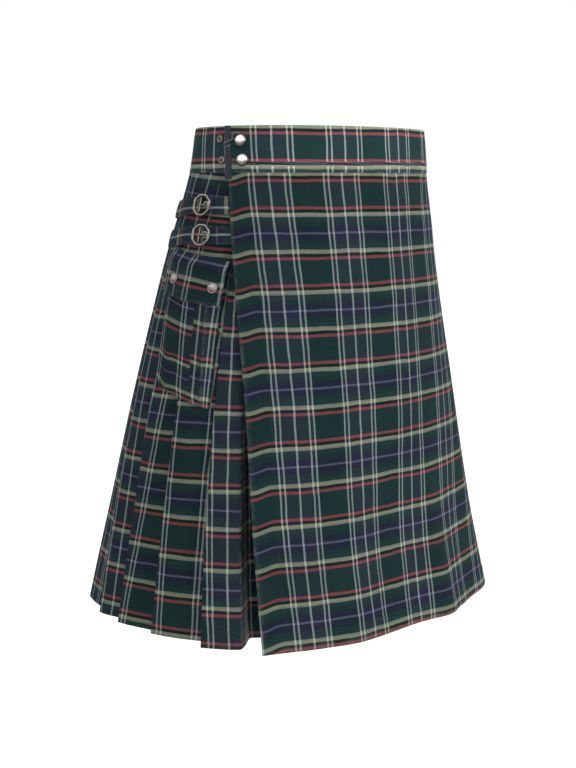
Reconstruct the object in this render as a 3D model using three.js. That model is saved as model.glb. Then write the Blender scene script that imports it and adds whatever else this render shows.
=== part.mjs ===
import * as THREE from 'three';

// Tartan utility kilt in its worn form, with nobody inside. Millimetres, +Z up.
// The front faces -Y and the wearer's right is -X.
// The origin is the centre of the waist opening, half way up the waistband.
//
// Every cloth piece is laid out in three garment coordinates:
//   along  - millimetres round the body, from the centre front towards the wearer's right,
//            on round the back to the wearer's left and over the front again
//   depth  - millimetres below the top edge of the waistband
//   out    - millimetres outward from the reference surface, level

// ---- driving sizes ----
const LENGTH = 608;
const WAISTBAND_HEIGHT = 55;
const SEAM_GAP = 0.3;

const PLEAT_WALL = 1.2;
const APRON_WALL = 1.5;
const WAISTBAND_WALL = 3.4;
const WAISTBAND_PROUD = 0.8;
const UNDER_LAYER_OUT = -3.9;

// The body sections under the cloth: half width, reach to the front and to the back of the
// widest line, place of that line, roundness of the oval, and how far the outer apron
// reaches from the centre front to its free edge.
const SECTIONS = [
  { depth: 0, halfWidth: 162, front: 121, back: 120, widest: 0, roundness: 2.2, apronReach: 207 },
  { depth: 55, halfWidth: 172, front: 125, back: 130, widest: 2, roundness: 2.1, apronReach: 207 },
  { depth: 170, halfWidth: 201, front: 133, back: 165, widest: 15, roundness: 2.05, apronReach: 207 },
  { depth: 330, halfWidth: 231, front: 149, back: 199, widest: 26, roundness: 2.2, apronReach: 209 },
  { depth: 480, halfWidth: 253, front: 164, back: 222, widest: 30, roundness: 2.4, apronReach: 216 },
  { depth: 608, halfWidth: 273, front: 190, back: 246, widest: 35, roundness: 2.5, apronReach: 226 },
];

// Knife pleats, counted from the wearer's right front round the back. Places are shares of
// the half girth, and each fold drifts a little on its way to the hem.
const PLEATS = { count: 16, first: 0.383, pitch: 0.0755, drift: 0.012, driftTurn: 2.04, lap: 0.5 };
const PLEAT_GAP = { waist: 0.4, hem: 1.6 };

// The largest soft folds of the hanging cloth: place and half width as shares of the half
// girth, outward depth at the hem, and the depth below the waist where each one starts.
const SOFT_FOLDS = [
  { place: 1.925, halfWidth: 0.045, outward: 7.0, start: 330 },
  { place: 1.82, halfWidth: 0.06, outward: -4.0, start: 380 },
  { place: 0.02, halfWidth: 0.07, outward: -3.0, start: 300 },
  { place: 0.13, halfWidth: 0.055, outward: 3.0, start: 260 },
  { place: 0.72, halfWidth: 0.08, outward: 5.0, start: 300 },
  { place: 0.96, halfWidth: 0.09, outward: -5.0, start: 280 },
  { place: 1.2, halfWidth: 0.08, outward: 5.0, start: 320 },
  { place: 1.42, halfWidth: 0.07, outward: -4.0, start: 350 },
  { place: 1.66, halfWidth: 0.06, outward: 4.0, start: 300 },
];

const UNDER_APRON_END = -0.3;
const HIDDEN_SEAM = 0.25;
const SIDE_SEAM = 1.56;

const PANEL_DEPTHS = [
  WAISTBAND_HEIGHT + SEAM_GAP, 83, 120, 175, 250, 330, 410, 480, 545, LENGTH,
];

const POCKET = {
  centreTop: 0.473, centreBottom: 0.459, refTop: 150, refBottom: 325,
  mouth: 166, bottom: 326, footHalf: 43, frontHalfTop: 31, frontHalfBottom: 41,
  proudTop: 15, proudBottom: 5, wall: 1.5, rearShare: 0.3, tiltTop: 6, tiltBottom: 11,
};
const FLAP = { top: 152, bottom: 204, halfWidth: 47, dip: 3, wall: 2.2, clear: 0.9, lead: 5 };

const STRAPS = [
  { name: 'upper', depth: 93, buckle: 246 },
  { name: 'lower', depth: 128, buckle: 247 },
];
const STRAP = {
  half: 10, wall: 1.4, clear: 0.4, step: 8, tip: 7,
  tongueFrom: 190, tongueTo: 330, tabFrom: 226, tabTo: 344,
};
const BUCKLE = { width: 24, height: 27, bar: 2.6, thick: 2.2, corner: 7, centreBar: 2, barBack: 2.2 };
const PRONG = { length: 11, width: 1.8, thick: 1.4 };
const EYELET = { radius: 4.6, hole: 1.7, thick: 0.9, fromMiddle: 4.2 };

const SNAP_CAPS = [{ along: 190, depth: 17.5 }, { along: 188.5, depth: 40 }];
const SNAP_CAP = { radius: 7.5, height: 3.4 };
const RING_STUDS = [{ along: 222, depth: 15 }, { along: 219, depth: 40 }];
const RING_STUD = { radius: 5.2, hole: 1.8, height: 1.6 };
const POCKET_SNAPS = [{ side: -1, inset: 11 }, { side: 1, inset: 24 }];
const POCKET_SNAP = { radius: 6.5, height: 2.6, aboveEdge: 20 };

// ---- colours and finishes ----
const MATERIALS = {
  tartan: { color: 0x1d3a31, roughness: 0.92, metalness: 0 },
  band: { color: 0x1f3d36, roughness: 0.9, metalness: 0 },
  nickel: { color: 0xc9cbce, roughness: 0.22, metalness: 1 },
  agedSilver: { color: 0x8f8a7d, roughness: 0.4, metalness: 1 },
  matteMetal: { color: 0x8d8782, roughness: 0.6, metalness: 0.7 },
};

const kilt = new THREE.Group();

function addPiece(name, geometry, material) {
  geometry.computeVertexNormals();
  const mesh = new THREE.Mesh(geometry, new THREE.MeshStandardMaterial(MATERIALS[material]));
  mesh.name = name;
  kilt.add(mesh);
  return mesh;
}

// ---- the reference surface ----
function smoothstep(low, high, value) {
  return THREE.MathUtils.smoothstep(value, low, high);
}

// A smooth curve through one column of the section table.
function sectionValue(column, depth) {
  const rows = SECTIONS;
  const slope = (i) => {
    const a = rows[Math.max(i - 1, 0)];
    const b = rows[Math.min(i + 1, rows.length - 1)];
    return (b[column] - a[column]) / (b.depth - a.depth);
  };
  let i = 0;
  while (i < rows.length - 2 && depth > rows[i + 1].depth) i += 1;
  const span = rows[i + 1].depth - rows[i].depth;
  const t = THREE.MathUtils.clamp((depth - rows[i].depth) / span, 0, 1);
  const keep = (1 + 2 * t) * (1 - t) ** 2;
  const next = t * t * (3 - 2 * t);
  const leave = t * (1 - t) ** 2 * span;
  const arrive = t * t * (t - 1) * span;
  return keep * rows[i][column] + next * rows[i + 1][column] + leave * slope(i) + arrive * slope(i + 1);
}

const RING_STEPS = 360;
const ringCache = new Map();

// Half of the oval section at one depth, from the centre front to the centre back, with the
// girth measured along it. The angle runs from -90 degrees at the front to +90 at the back.
function ring(depth) {
  if (ringCache.has(depth)) return ringCache.get(depth);
  const halfWidth = sectionValue('halfWidth', depth);
  const power = sectionValue('roundness', depth);
  const widest = sectionValue('widest', depth);
  const points = [];
  for (let i = 0; i <= RING_STEPS; i += 1) {
    const angle = Math.PI * (i / RING_STEPS - 0.5);
    const reach = sectionValue(angle < 0 ? 'front' : 'back', depth);
    const half = angle < 0 ? reach + widest : reach - widest;
    const c = Math.cos(angle);
    const s = Math.sin(angle);
    const radius = (Math.abs(c / halfWidth) ** power + Math.abs(s / half) ** power) ** (-1 / power);
    points.push(new THREE.Vector2(radius * c, widest + radius * s));
  }
  const lengths = [0];
  for (let i = 1; i < points.length; i += 1) {
    lengths.push(lengths[i - 1] + points[i].distanceTo(points[i - 1]));
  }
  const made = { points, lengths, halfGirth: lengths[lengths.length - 1] };
  ringCache.set(depth, made);
  return made;
}

function halfGirth(depth) {
  return ring(depth).halfGirth;
}

function softFold(share, depth) {
  let outward = 0;
  for (const fold of SOFT_FOLDS) {
    const away = Math.abs(((share - fold.place + 3) % 2) - 1) / fold.halfWidth;
    if (away < 1) {
      const swell = 0.5 + 0.5 * Math.cos(Math.PI * away);
      outward += fold.outward * swell * smoothstep(fold.start, LENGTH, depth);
    }
  }
  return outward;
}

// The point at (along, depth, out).
function place(along, depth, out) {
  const { points, lengths, halfGirth: half } = ring(depth);
  const round = ((along % (2 * half)) + 2 * half) % (2 * half);
  const side = round < half ? -1 : 1;
  const walked = round < half ? round : 2 * half - round;
  let low = 0;
  let high = RING_STEPS;
  while (high - low > 1) {
    const middle = (low + high) >> 1;
    if (lengths[middle] > walked) high = middle;
    else low = middle;
  }
  const t = (walked - lengths[low]) / (lengths[high] - lengths[low]);
  const x = THREE.MathUtils.lerp(points[low].x, points[high].x, t);
  const y = THREE.MathUtils.lerp(points[low].y, points[high].y, t);
  const before = points[Math.max(low - 1, 0)];
  const after = points[Math.min(high + 1, RING_STEPS)];
  const tangent = new THREE.Vector2().subVectors(after, before);
  if (low === 0 || high === RING_STEPS) tangent.y *= THREE.MathUtils.lerp(low === 0 ? t : 1 - t, 1, 0.5);
  const normal = new THREE.Vector2(tangent.y, -tangent.x).normalize();
  const offset = out + softFold(round / half, depth);
  const z = WAISTBAND_HEIGHT / 2 - depth;
  return new THREE.Vector3(side * (x + normal.x * offset), y + normal.y * offset, z);
}

// How far out the outer face of the cloth lies: sunk under the outer apron at the wearer's
// right, and rising round the back until it becomes the outer apron at the left.
function layerOut(share) {
  return UNDER_LAYER_OUT * (1 - smoothstep(0.6, 1.45, share));
}

// ---- knife pleats ----
function foldShare(k, depth) {
  const drift = PLEATS.drift * Math.cos(PLEATS.driftTurn * k) * (depth / LENGTH) ** 2;
  return PLEATS.first + PLEATS.pitch * k - drift;
}

function foldAlong(k, depth) {
  return foldShare(k, depth) * halfGirth(depth);
}

function pleatStep(depth) {
  return PLEAT_WALL + THREE.MathUtils.lerp(PLEAT_GAP.waist, PLEAT_GAP.hem, smoothstep(60, LENGTH, depth));
}

function pleatLap(depth) {
  return PLEATS.lap * PLEATS.pitch * halfGirth(depth);
}

// The middle of the cloth at a fold: the top layer, the return under it, or the next face.
function pleatLevel(k, depth, layer) {
  return layerOut(foldShare(k, depth)) - PLEAT_WALL / 2 - (2 - layer) * pleatStep(depth);
}

// The middle line of the cloth from the hidden seam before one fold to that after another.
function pleatPath(first, last, depth) {
  const path = [];
  const lap = pleatLap(depth);
  const nose = pleatStep(depth) / 2;
  const rise = 3;
  if (first === 0) {
    const out = layerOut(HIDDEN_SEAM) - PLEAT_WALL / 2;
    const from = HIDDEN_SEAM * halfGirth(depth) + SEAM_GAP;
    path.push([from, out], [(from + foldAlong(0, depth)) / 2, out]);
  } else {
    path.push([foldAlong(first - 1, depth) - lap / 2 + SEAM_GAP, pleatLevel(first - 1, depth, 0)]);
  }
  for (let k = first; k <= last; k += 1) {
    const fold = foldAlong(k, depth);
    if (k > 0) {
      const start = foldAlong(k - 1, depth) + rise;
      const low = pleatLevel(k - 1, depth, 0);
      const high = pleatLevel(k, depth, 2);
      const end = fold - lap - rise;
      path.push([start, low], [(start + end) / 2, (low + high) / 2 + 0.1], [end, high]);
    }
    const top = pleatLevel(k, depth, 2);
    const middle = pleatLevel(k, depth, 1);
    const bottom = pleatLevel(k, depth, 0);
    path.push([fold - 1.6 * nose, top], [fold, (top + middle) / 2], [fold - 1.6 * nose, middle]);
    path.push([fold - lap + nose, middle], [fold - lap, (middle + bottom) / 2]);
    path.push([fold - lap + nose, bottom]);
    if (k < last) path.push([fold - lap / 2, bottom]);
  }
  path.push([foldAlong(last, depth) - lap / 2, pleatLevel(last, depth, 0)]);
  return path;
}

// ---- cloth walls ----
// Moves a flat path to one side by a distance, mitred at its corners.
function offsetPath(path, distance) {
  return path.map((point, i) => {
    const before = path[Math.max(i - 1, 0)];
    const after = path[Math.min(i + 1, path.length - 1)];
    const arrive = new THREE.Vector2(point[0] - before[0], point[1] - before[1]).normalize();
    const leave = new THREE.Vector2(after[0] - point[0], after[1] - point[1]).normalize();
    if (i === 0) arrive.copy(leave);
    if (i === path.length - 1) leave.copy(arrive);
    const bisector = new THREE.Vector2(-(arrive.y + leave.y), arrive.x + leave.x).normalize();
    const mitre = distance / Math.max(0.5, bisector.dot(new THREE.Vector2(-leave.y, leave.x)));
    return [point[0] + bisector.x * mitre, point[1] + bisector.y * mitre];
  });
}

// One closed wall from rows of outer and inner points, all rows alike in count.
function wallGeometry(rows) {
  const across = rows[0].outer.length;
  const positions = [];
  for (const row of rows) {
    for (const point of row.outer) positions.push(point.x, point.y, point.z);
    for (const point of row.inner) positions.push(point.x, point.y, point.z);
  }
  const outer = (row, i) => row * 2 * across + i;
  const inner = (row, i) => row * 2 * across + across + i;
  const index = [];
  const quad = (a, b, c, d) => index.push(a, b, c, a, c, d);
  for (let row = 0; row < rows.length - 1; row += 1) {
    for (let i = 0; i < across - 1; i += 1) {
      quad(outer(row, i), outer(row + 1, i), outer(row + 1, i + 1), outer(row, i + 1));
      quad(inner(row, i), inner(row, i + 1), inner(row + 1, i + 1), inner(row + 1, i));
    }
    const end = across - 1;
    quad(outer(row, 0), inner(row, 0), inner(row + 1, 0), outer(row + 1, 0));
    quad(outer(row, end), outer(row + 1, end), inner(row + 1, end), inner(row, end));
  }
  const last = rows.length - 1;
  for (let i = 0; i < across - 1; i += 1) {
    quad(outer(0, i), outer(0, i + 1), inner(0, i + 1), inner(0, i));
    quad(outer(last, i), inner(last, i), inner(last, i + 1), outer(last, i + 1));
  }
  const geometry = new THREE.BufferGeometry();
  geometry.setAttribute('position', new THREE.Float32BufferAttribute(positions, 3));
  geometry.setIndex(index);
  if (signedVolume(geometry) < 0) {
    for (let i = 0; i < index.length; i += 3) {
      const keep = index[i + 1];
      index[i + 1] = index[i + 2];
      index[i + 2] = keep;
    }
    geometry.setIndex(index);
  }
  return geometry;
}

function signedVolume(geometry) {
  const position = geometry.getAttribute('position');
  const index = geometry.getIndex();
  const corners = [new THREE.Vector3(), new THREE.Vector3(), new THREE.Vector3()];
  let volume = 0;
  for (let i = 0; i < index.count; i += 3) {
    corners.forEach((corner, k) => corner.fromBufferAttribute(position, index.getX(i + k)));
    volume += corners[0].dot(corners[1].clone().cross(corners[2])) / 6;
  }
  return volume;
}

// A wall whose middle line at each depth is given by pathAt(depth) as [along, out] pairs.
function clothWall(depths, pathAt, wall) {
  return wallGeometry(depths.map((depth) => {
    const path = pathAt(depth);
    const thickness = typeof wall === 'function' ? wall(depth) : wall;
    const lift = (side) => offsetPath(path, (side * thickness) / 2)
      .map(([along, out]) => place(along, depth, out));
    return { outer: lift(1), inner: lift(-1) };
  }));
}

function spread(from, to, step, outAt) {
  const count = Math.max(2, Math.round(Math.abs(to - from) / step));
  const path = [];
  for (let i = 0; i <= count; i += 1) {
    const along = THREE.MathUtils.lerp(from, to, i / count);
    path.push([along, outAt(along)]);
  }
  return path;
}

// ---- panels ----
const APRON_STEPS = 40;
const UNDER_STEPS = 24;
const TUCK_CLEARANCE = 0.25;

function outerApronPath(depth) {
  const half = halfGirth(depth);
  const last = PLEATS.count - 1;
  const low = pleatLevel(last, depth, 0) - (APRON_WALL - PLEAT_WALL) / 2 - TUCK_CLEARANCE;
  const high = -APRON_WALL / 2;
  const start = foldAlong(last, depth) - pleatLap(depth) / 2 + SEAM_GAP;
  const leave = foldAlong(last, depth) + 3;
  const reach = 2 * half + sectionValue('apronReach', depth);
  const path = [[start, low]];
  for (let i = 0; i <= APRON_STEPS; i += 1) {
    const along = THREE.MathUtils.lerp(leave, reach, i / APRON_STEPS);
    const rise = smoothstep(leave, leave + 0.11 * half, along);
    path.push([along, THREE.MathUtils.lerp(low, high, rise)]);
  }
  return path;
}

function underApronPath(depth) {
  const half = halfGirth(depth);
  const out = UNDER_LAYER_OUT - APRON_WALL / 2;
  const step = ((HIDDEN_SEAM - UNDER_APRON_END) * half) / UNDER_STEPS;
  return spread(UNDER_APRON_END * half, HIDDEN_SEAM * half, step, () => out);
}

addPiece('apron_outer', clothWall(PANEL_DEPTHS, outerApronPath, APRON_WALL), 'tartan');
addPiece('apron_under', clothWall(PANEL_DEPTHS, underApronPath, APRON_WALL), 'tartan');

const PLEAT_PANELS = [
  { name: 'pleats_right', first: 0, last: 4 },
  { name: 'pleats_back', first: 5, last: 10 },
  { name: 'pleats_left', first: 11, last: 15 },
];
for (const panel of PLEAT_PANELS) {
  const path = (depth) => pleatPath(panel.first, panel.last, depth);
  addPiece(panel.name, clothWall(PANEL_DEPTHS, path, PLEAT_WALL), 'tartan');
}

// ---- waistband ----
const BAND_ROUND = 1.1;
const BAND_DEPTHS = [0, BAND_ROUND, WAISTBAND_HEIGHT / 2, WAISTBAND_HEIGHT - BAND_ROUND, WAISTBAND_HEIGHT];
const BAND_STEP = 18;

function bandWall(depth) {
  const fromEdge = Math.min(depth, WAISTBAND_HEIGHT - depth);
  return fromEdge < BAND_ROUND / 2 ? WAISTBAND_WALL - 2 * BAND_ROUND : WAISTBAND_WALL;
}

function bandPath(fromShare, toShare, toExtra) {
  const girth = halfGirth(0);
  const count = Math.round(((toShare - fromShare) * girth + toExtra) / BAND_STEP);
  return (depth) => {
    const half = halfGirth(depth);
    const from = fromShare * half + SEAM_GAP / 2;
    const to = toShare * half + (toExtra || -SEAM_GAP / 2);
    const path = [];
    for (let i = 0; i <= count; i += 1) {
      const along = THREE.MathUtils.lerp(from, to, i / count);
      path.push([along, layerOut(along / half) + WAISTBAND_PROUD - WAISTBAND_WALL / 2]);
    }
    return path;
  };
}

const BAND_REACH = 208;
const BANDS = [
  { name: 'waistband_under', from: UNDER_APRON_END, to: HIDDEN_SEAM, extra: 0 },
  { name: 'waistband_back', from: HIDDEN_SEAM, to: SIDE_SEAM, extra: 0 },
  { name: 'waistband_outer', from: SIDE_SEAM, to: 2, extra: BAND_REACH },
];
for (const band of BANDS) {
  addPiece(band.name, clothWall(BAND_DEPTHS, bandPath(band.from, band.to, band.extra), bandWall), 'band');
}

// ---- cargo pocket on the wearer's right hip ----
function pocketCentre(depth) {
  const t = (depth - POCKET.refTop) / (POCKET.refBottom - POCKET.refTop);
  return THREE.MathUtils.lerp(POCKET.centreTop, POCKET.centreBottom, t) * halfGirth(depth);
}

// The outer face of the pleats at one place.
function pleatFace(along, depth) {
  let k = 0;
  while (k < PLEATS.count && foldAlong(k, depth) < along) k += 1;
  if (k === 0) return layerOut(along / halfGirth(depth));
  const start = foldAlong(k - 1, depth) + 3;
  const end = foldAlong(k, depth) - pleatLap(depth) - 3;
  const t = THREE.MathUtils.clamp((along - start) / (end - start), 0, 1);
  const low = pleatLevel(k - 1, depth, 0);
  const high = pleatLevel(k, depth, 2);
  return THREE.MathUtils.lerp(low, high, t) + PLEAT_WALL / 2 + 0.1;
}

// Where a piece can sit on the pleats: the highest cloth close by.
function seatOut(along, depth) {
  let seat = -Infinity;
  for (const step of [-5, -2.5, 0, 2.5, 5]) {
    for (const drop of [-12, 0, 12]) seat = Math.max(seat, pleatFace(along + step, depth + drop));
  }
  return seat + SEAM_GAP;
}

const POCKET_DEPTHS = [
  POCKET.mouth, 185, 205, 225, 245, 265, 285, 303, 316, 323, POCKET.bottom,
];

function pocketPart(depth) {
  return (depth - POCKET.mouth) / (POCKET.bottom - POCKET.mouth);
}

function pocketProud(depth) {
  const open = THREE.MathUtils.lerp(POCKET.proudTop, POCKET.proudBottom, pocketPart(depth) ** 0.8);
  return open * Math.sqrt(THREE.MathUtils.clamp((POCKET.bottom - depth) / 10, 0, 1));
}

// The bag stands open at its front edge and lies nearly flat at its rear one.
function pocketLean(across) {
  return THREE.MathUtils.lerp(POCKET.rearShare, 1, (1 - across) / 2);
}

// The pocket hangs square to the leaning pleats, so its rear edge is higher than its front.
function pocketTilt(depth, across) {
  return -across * THREE.MathUtils.lerp(POCKET.tiltTop, POCKET.tiltBottom, pocketPart(depth));
}

function pocketPath(depth) {
  const centre = pocketCentre(depth);
  const frontHalf = THREE.MathUtils.lerp(POCKET.frontHalfTop, POCKET.frontHalfBottom, pocketPart(depth));
  const proud = pocketProud(depth);
  const base = layerOut(centre / halfGirth(depth)) + SEAM_GAP + POCKET.wall / 2;
  const foot = (side) => [centre + side * POCKET.footHalf,
    seatOut(centre + side * POCKET.footHalf, depth) + POCKET.wall / 2];
  const path = [foot(-1)];
  const panelSteps = 8;
  for (let i = 0; i <= panelSteps; i += 1) {
    const across = -1 + (2 * i) / panelSteps;
    const stands = proud * pocketLean(across);
    const bow = (1 + stands / 12) * (1 - across * across);
    path.push([centre + across * frontHalf, base + stands + bow]);
  }
  const rear = foot(1);
  rear[1] = Math.min(rear[1], path[path.length - 1][1]);
  path.push(rear);
  return path;
}

function pocketGeometry() {
  return wallGeometry(POCKET_DEPTHS.map((depth) => {
    const path = pocketPath(depth);
    const centre = pocketCentre(depth);
    const lift = (side) => offsetPath(path, (side * POCKET.wall) / 2).map(([along, out]) => {
      const across = (along - centre) / POCKET.footHalf;
      const tilted = depth + pocketTilt(depth, across);
      return place(along - centre + pocketCentre(tilted), tilted, out);
    });
    return { outer: lift(1), inner: lift(-1) };
  }));
}
addPiece('pocket_bag', pocketGeometry(), 'tartan');

const FLAP_DEPTHS = [0, 0.06, 0.12, 0.18, 0.26, 0.36, 0.5, 0.66, 0.83, 1];

function flapDepth(part, across) {
  const depth = THREE.MathUtils.lerp(FLAP.top, FLAP.bottom + FLAP.dip * (1 - across * across), part);
  return depth + pocketTilt(FLAP.top, across);
}

function flapOut(along, across, depth) {
  const centre = pocketCentre(depth);
  const level = depth - pocketTilt(FLAP.top, across);
  const stands = pocketProud(Math.max(level, POCKET.mouth)) * pocketLean(across * 1.1);
  const crown = 1 + stands / 12;
  const onBag = layerOut(centre / halfGirth(depth)) + SEAM_GAP + POCKET.wall + stands
    + crown * (1 - (across * 0.9) ** 2) + FLAP.clear;
  const onCloth = layerOut(along / halfGirth(depth)) + SEAM_GAP;
  const lift = smoothstep(FLAP.top - 1, POCKET.mouth - FLAP.lead, level);
  return THREE.MathUtils.lerp(onCloth, Math.max(onCloth, onBag), lift);
}

function flapGeometry() {
  const steps = 12;
  const rows = FLAP_DEPTHS.map((part) => {
    const outer = [];
    const inner = [];
    for (let i = 0; i <= steps; i += 1) {
      const across = -1 + (2 * i) / steps;
      const depth = flapDepth(part, across);
      const along = pocketCentre(depth) + across * FLAP.halfWidth;
      const out = flapOut(along, across, depth);
      inner.push(place(along, depth, out));
      outer.push(place(along, depth, out + FLAP.wall));
    }
    return { outer, inner };
  });
  return wallGeometry(rows);
}
addPiece('pocket_flap', flapGeometry(), 'tartan');

// ---- hip straps ----
function strapRows(depth) {
  return [-1, -0.6, 0.6, 1].map((part) => depth + part * STRAP.half);
}

function strapOut(along, depth) {
  return layerOut(along / halfGirth(depth)) + STRAP.clear + STRAP.wall / 2;
}

const TONGUE_LIFT = STRAP.wall + STRAP.clear;

// The tongue comes out from under the apron's edge, climbs over the tab and ends in a
// rounded tip.
function tonguePath(strap) {
  const climb = { from: STRAP.tabFrom - 17, to: STRAP.tabFrom - 3 };
  return (depth) => {
    const round = Math.abs(depth - strap.depth) / STRAP.half;
    const tip = STRAP.tongueTo - STRAP.tip * round ** 3;
    const step = (tip - STRAP.tongueFrom) / Math.round((STRAP.tongueTo - STRAP.tongueFrom) / STRAP.step);
    const outAt = (along) => strapOut(along, depth) + TONGUE_LIFT * smoothstep(climb.from, climb.to, along);
    return spread(STRAP.tongueFrom, tip, step, outAt);
  };
}

function tabPath(depth) {
  return spread(STRAP.tabFrom, STRAP.tabTo, STRAP.step, (along) => strapOut(along, depth));
}

for (const strap of STRAPS) {
  const rows = strapRows(strap.depth);
  addPiece(`strap_tongue_${strap.name}`, clothWall(rows, tonguePath(strap), STRAP.wall), 'tartan');
  addPiece(`strap_tab_${strap.name}`, clothWall(rows, tabPath, STRAP.wall), 'tartan');
}

// ---- metal ----
// Stands a mesh on the surface: its own +Z points outward, +Y up the cloth, and +X back
// along it, towards the centre front.
function standOn(mesh, along, depth, out) {
  const here = place(along, depth, out);
  const across = place(along - 3, depth, out).sub(place(along + 3, depth, out)).normalize();
  const up = place(along, depth - 3, out).sub(place(along, depth + 3, out)).normalize();
  const normal = new THREE.Vector3().crossVectors(across, up).normalize();
  const level = new THREE.Vector3().crossVectors(normal, across);
  mesh.matrixAutoUpdate = false;
  mesh.matrix.makeBasis(across, level, normal).setPosition(here);
}

function lathe(profile, segments) {
  const geometry = new THREE.LatheGeometry(profile.map(([r, h]) => new THREE.Vector2(r, h)), segments);
  geometry.rotateX(Math.PI / 2);
  return geometry;
}

function domeGeometry({ radius, height }, segments) {
  const profile = [[0, 0], [radius, 0], [radius, 0.2 * height]];
  const steps = 3;
  for (let i = 1; i < steps; i += 1) {
    const angle = (Math.PI / 2) * (i / steps);
    profile.push([radius * Math.cos(angle), height * (0.2 + 0.8 * Math.sin(angle))]);
  }
  profile.push([0, height]);
  return lathe(profile, segments);
}

function washerGeometry(radius, hole, height, segments) {
  const round = 0.5 * height;
  return lathe([
    [hole, 0], [radius, 0], [radius, height - round], [radius - round, height], [hole, height], [hole, 0],
  ], segments);
}

const FACETS = 16;
const bandOut = (along, depth) => layerOut(along / halfGirth(depth)) + WAISTBAND_PROUD;

SNAP_CAPS.forEach((cap, i) => {
  const mesh = addPiece(`snap_cap_${i + 1}`, domeGeometry(SNAP_CAP, FACETS), 'nickel');
  const along = 2 * halfGirth(cap.depth) + cap.along;
  standOn(mesh, along, cap.depth, bandOut(along, cap.depth) + 0.5);
});

RING_STUDS.forEach((stud, i) => {
  const geometry = washerGeometry(RING_STUD.radius, RING_STUD.hole, RING_STUD.height, FACETS);
  const mesh = addPiece(`ring_stud_${i + 1}`, geometry, 'agedSilver');
  standOn(mesh, stud.along, stud.depth, bandOut(stud.along, stud.depth) + 0.45);
});

POCKET_SNAPS.forEach((snap, i) => {
  const mesh = addPiece(`pocket_snap_${i + 1}`, domeGeometry(POCKET_SNAP, FACETS), 'matteMetal');
  const across = snap.side * (1 - snap.inset / FLAP.halfWidth);
  const depth = FLAP.bottom - POCKET_SNAP.aboveEdge + pocketTilt(FLAP.top, across);
  const along = pocketCentre(depth) + across * FLAP.halfWidth;
  standOn(mesh, along, depth, flapOut(along, across, depth) + FLAP.wall + 0.85);
});

function roundedOctagon(width, height, corner) {
  const shape = new THREE.Shape();
  const x = width / 2;
  const y = height / 2;
  const points = [
    [x - corner, -y], [x, -y + corner], [x, y - corner], [x - corner, y],
    [-x + corner, y], [-x, y - corner], [-x, -y + corner], [-x + corner, -y],
  ];
  const round = 0.3;
  points.forEach((point, i) => {
    const before = points[(i + 7) % 8];
    const after = points[(i + 1) % 8];
    const enter = point.map((value, k) => THREE.MathUtils.lerp(value, before[k], round));
    const exit = point.map((value, k) => THREE.MathUtils.lerp(value, after[k], round));
    if (i === 0) shape.moveTo(...enter);
    else shape.lineTo(...enter);
    shape.quadraticCurveTo(...point, ...exit);
  });
  shape.closePath();
  return shape;
}

// The buckle's rim.
function buckleGeometry() {
  const { width, height, bar, thick, corner } = BUCKLE;
  const shape = roundedOctagon(width, height, corner);
  shape.holes.push(roundedOctagon(width - 2 * bar, height - 2 * bar, corner - bar / 2));
  return new THREE.ExtrudeGeometry(shape, { depth: thick, bevelEnabled: false, curveSegments: 2 });
}

// The upright bar across the rim's opening, with the prong that lies on it.
function prongGeometry() {
  const { height, bar, centreBar } = BUCKLE;
  const reach = height / 2 - bar - 2 * SEAM_GAP;
  const half = PRONG.width / 2;
  const side = centreBar / 2;
  const shape = new THREE.Shape([
    [-side, -reach], [side, -reach], [side, -half], [PRONG.length - half, -half], [PRONG.length, 0],
    [PRONG.length - half, half], [side, half], [side, reach], [-side, reach],
  ].map(([x, y]) => new THREE.Vector2(x, y)));
  return new THREE.ExtrudeGeometry(shape, { depth: PRONG.thick, bevelEnabled: false });
}

for (const strap of STRAPS) {
  const top = strapOut(strap.buckle, strap.depth) + STRAP.wall / 2 + TONGUE_LIFT;
  const buckle = addPiece(`buckle_frame_${strap.name}`, buckleGeometry(), 'agedSilver');
  standOn(buckle, strap.buckle, strap.depth, top + 0.75);
  const eyelet = addPiece(
    `strap_eyelet_${strap.name}`,
    washerGeometry(EYELET.radius, EYELET.hole, EYELET.thick, 12),
    'agedSilver',
  );
  standOn(eyelet, strap.buckle - EYELET.fromMiddle, strap.depth, top + 0.4);
  const prong = addPiece(`buckle_prong_${strap.name}`, prongGeometry(), 'agedSilver');
  standOn(prong, strap.buckle + BUCKLE.barBack, strap.depth, top + EYELET.thick + 0.75);
}

export default kilt;
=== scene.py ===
import math

import bpy
import numpy as np
from bpy.props import FloatProperty, FloatVectorProperty, PointerProperty
from mathutils import Matrix, Vector


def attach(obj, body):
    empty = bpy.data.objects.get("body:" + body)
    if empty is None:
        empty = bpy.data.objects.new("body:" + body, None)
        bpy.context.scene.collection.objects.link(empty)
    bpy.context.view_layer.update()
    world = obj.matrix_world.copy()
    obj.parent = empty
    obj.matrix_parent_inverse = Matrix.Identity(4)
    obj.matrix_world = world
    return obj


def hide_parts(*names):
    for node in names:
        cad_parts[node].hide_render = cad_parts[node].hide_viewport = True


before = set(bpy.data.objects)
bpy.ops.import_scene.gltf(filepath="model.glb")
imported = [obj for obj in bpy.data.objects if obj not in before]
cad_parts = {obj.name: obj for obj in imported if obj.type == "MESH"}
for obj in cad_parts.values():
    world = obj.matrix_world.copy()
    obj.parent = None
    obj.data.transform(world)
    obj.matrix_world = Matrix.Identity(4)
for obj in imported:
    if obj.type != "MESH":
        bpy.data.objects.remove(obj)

bl_info = {
    "name": "Tartan Utility Kilt",
    "version": (1, 0, 0),
    "blender": (4, 5, 0),
    "location": "3D View > Sidebar > Kilt",
    "description": "Dresses the packed utility kilt in tartan cloth, stitching and metal",
    "category": "Object",
}

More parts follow.
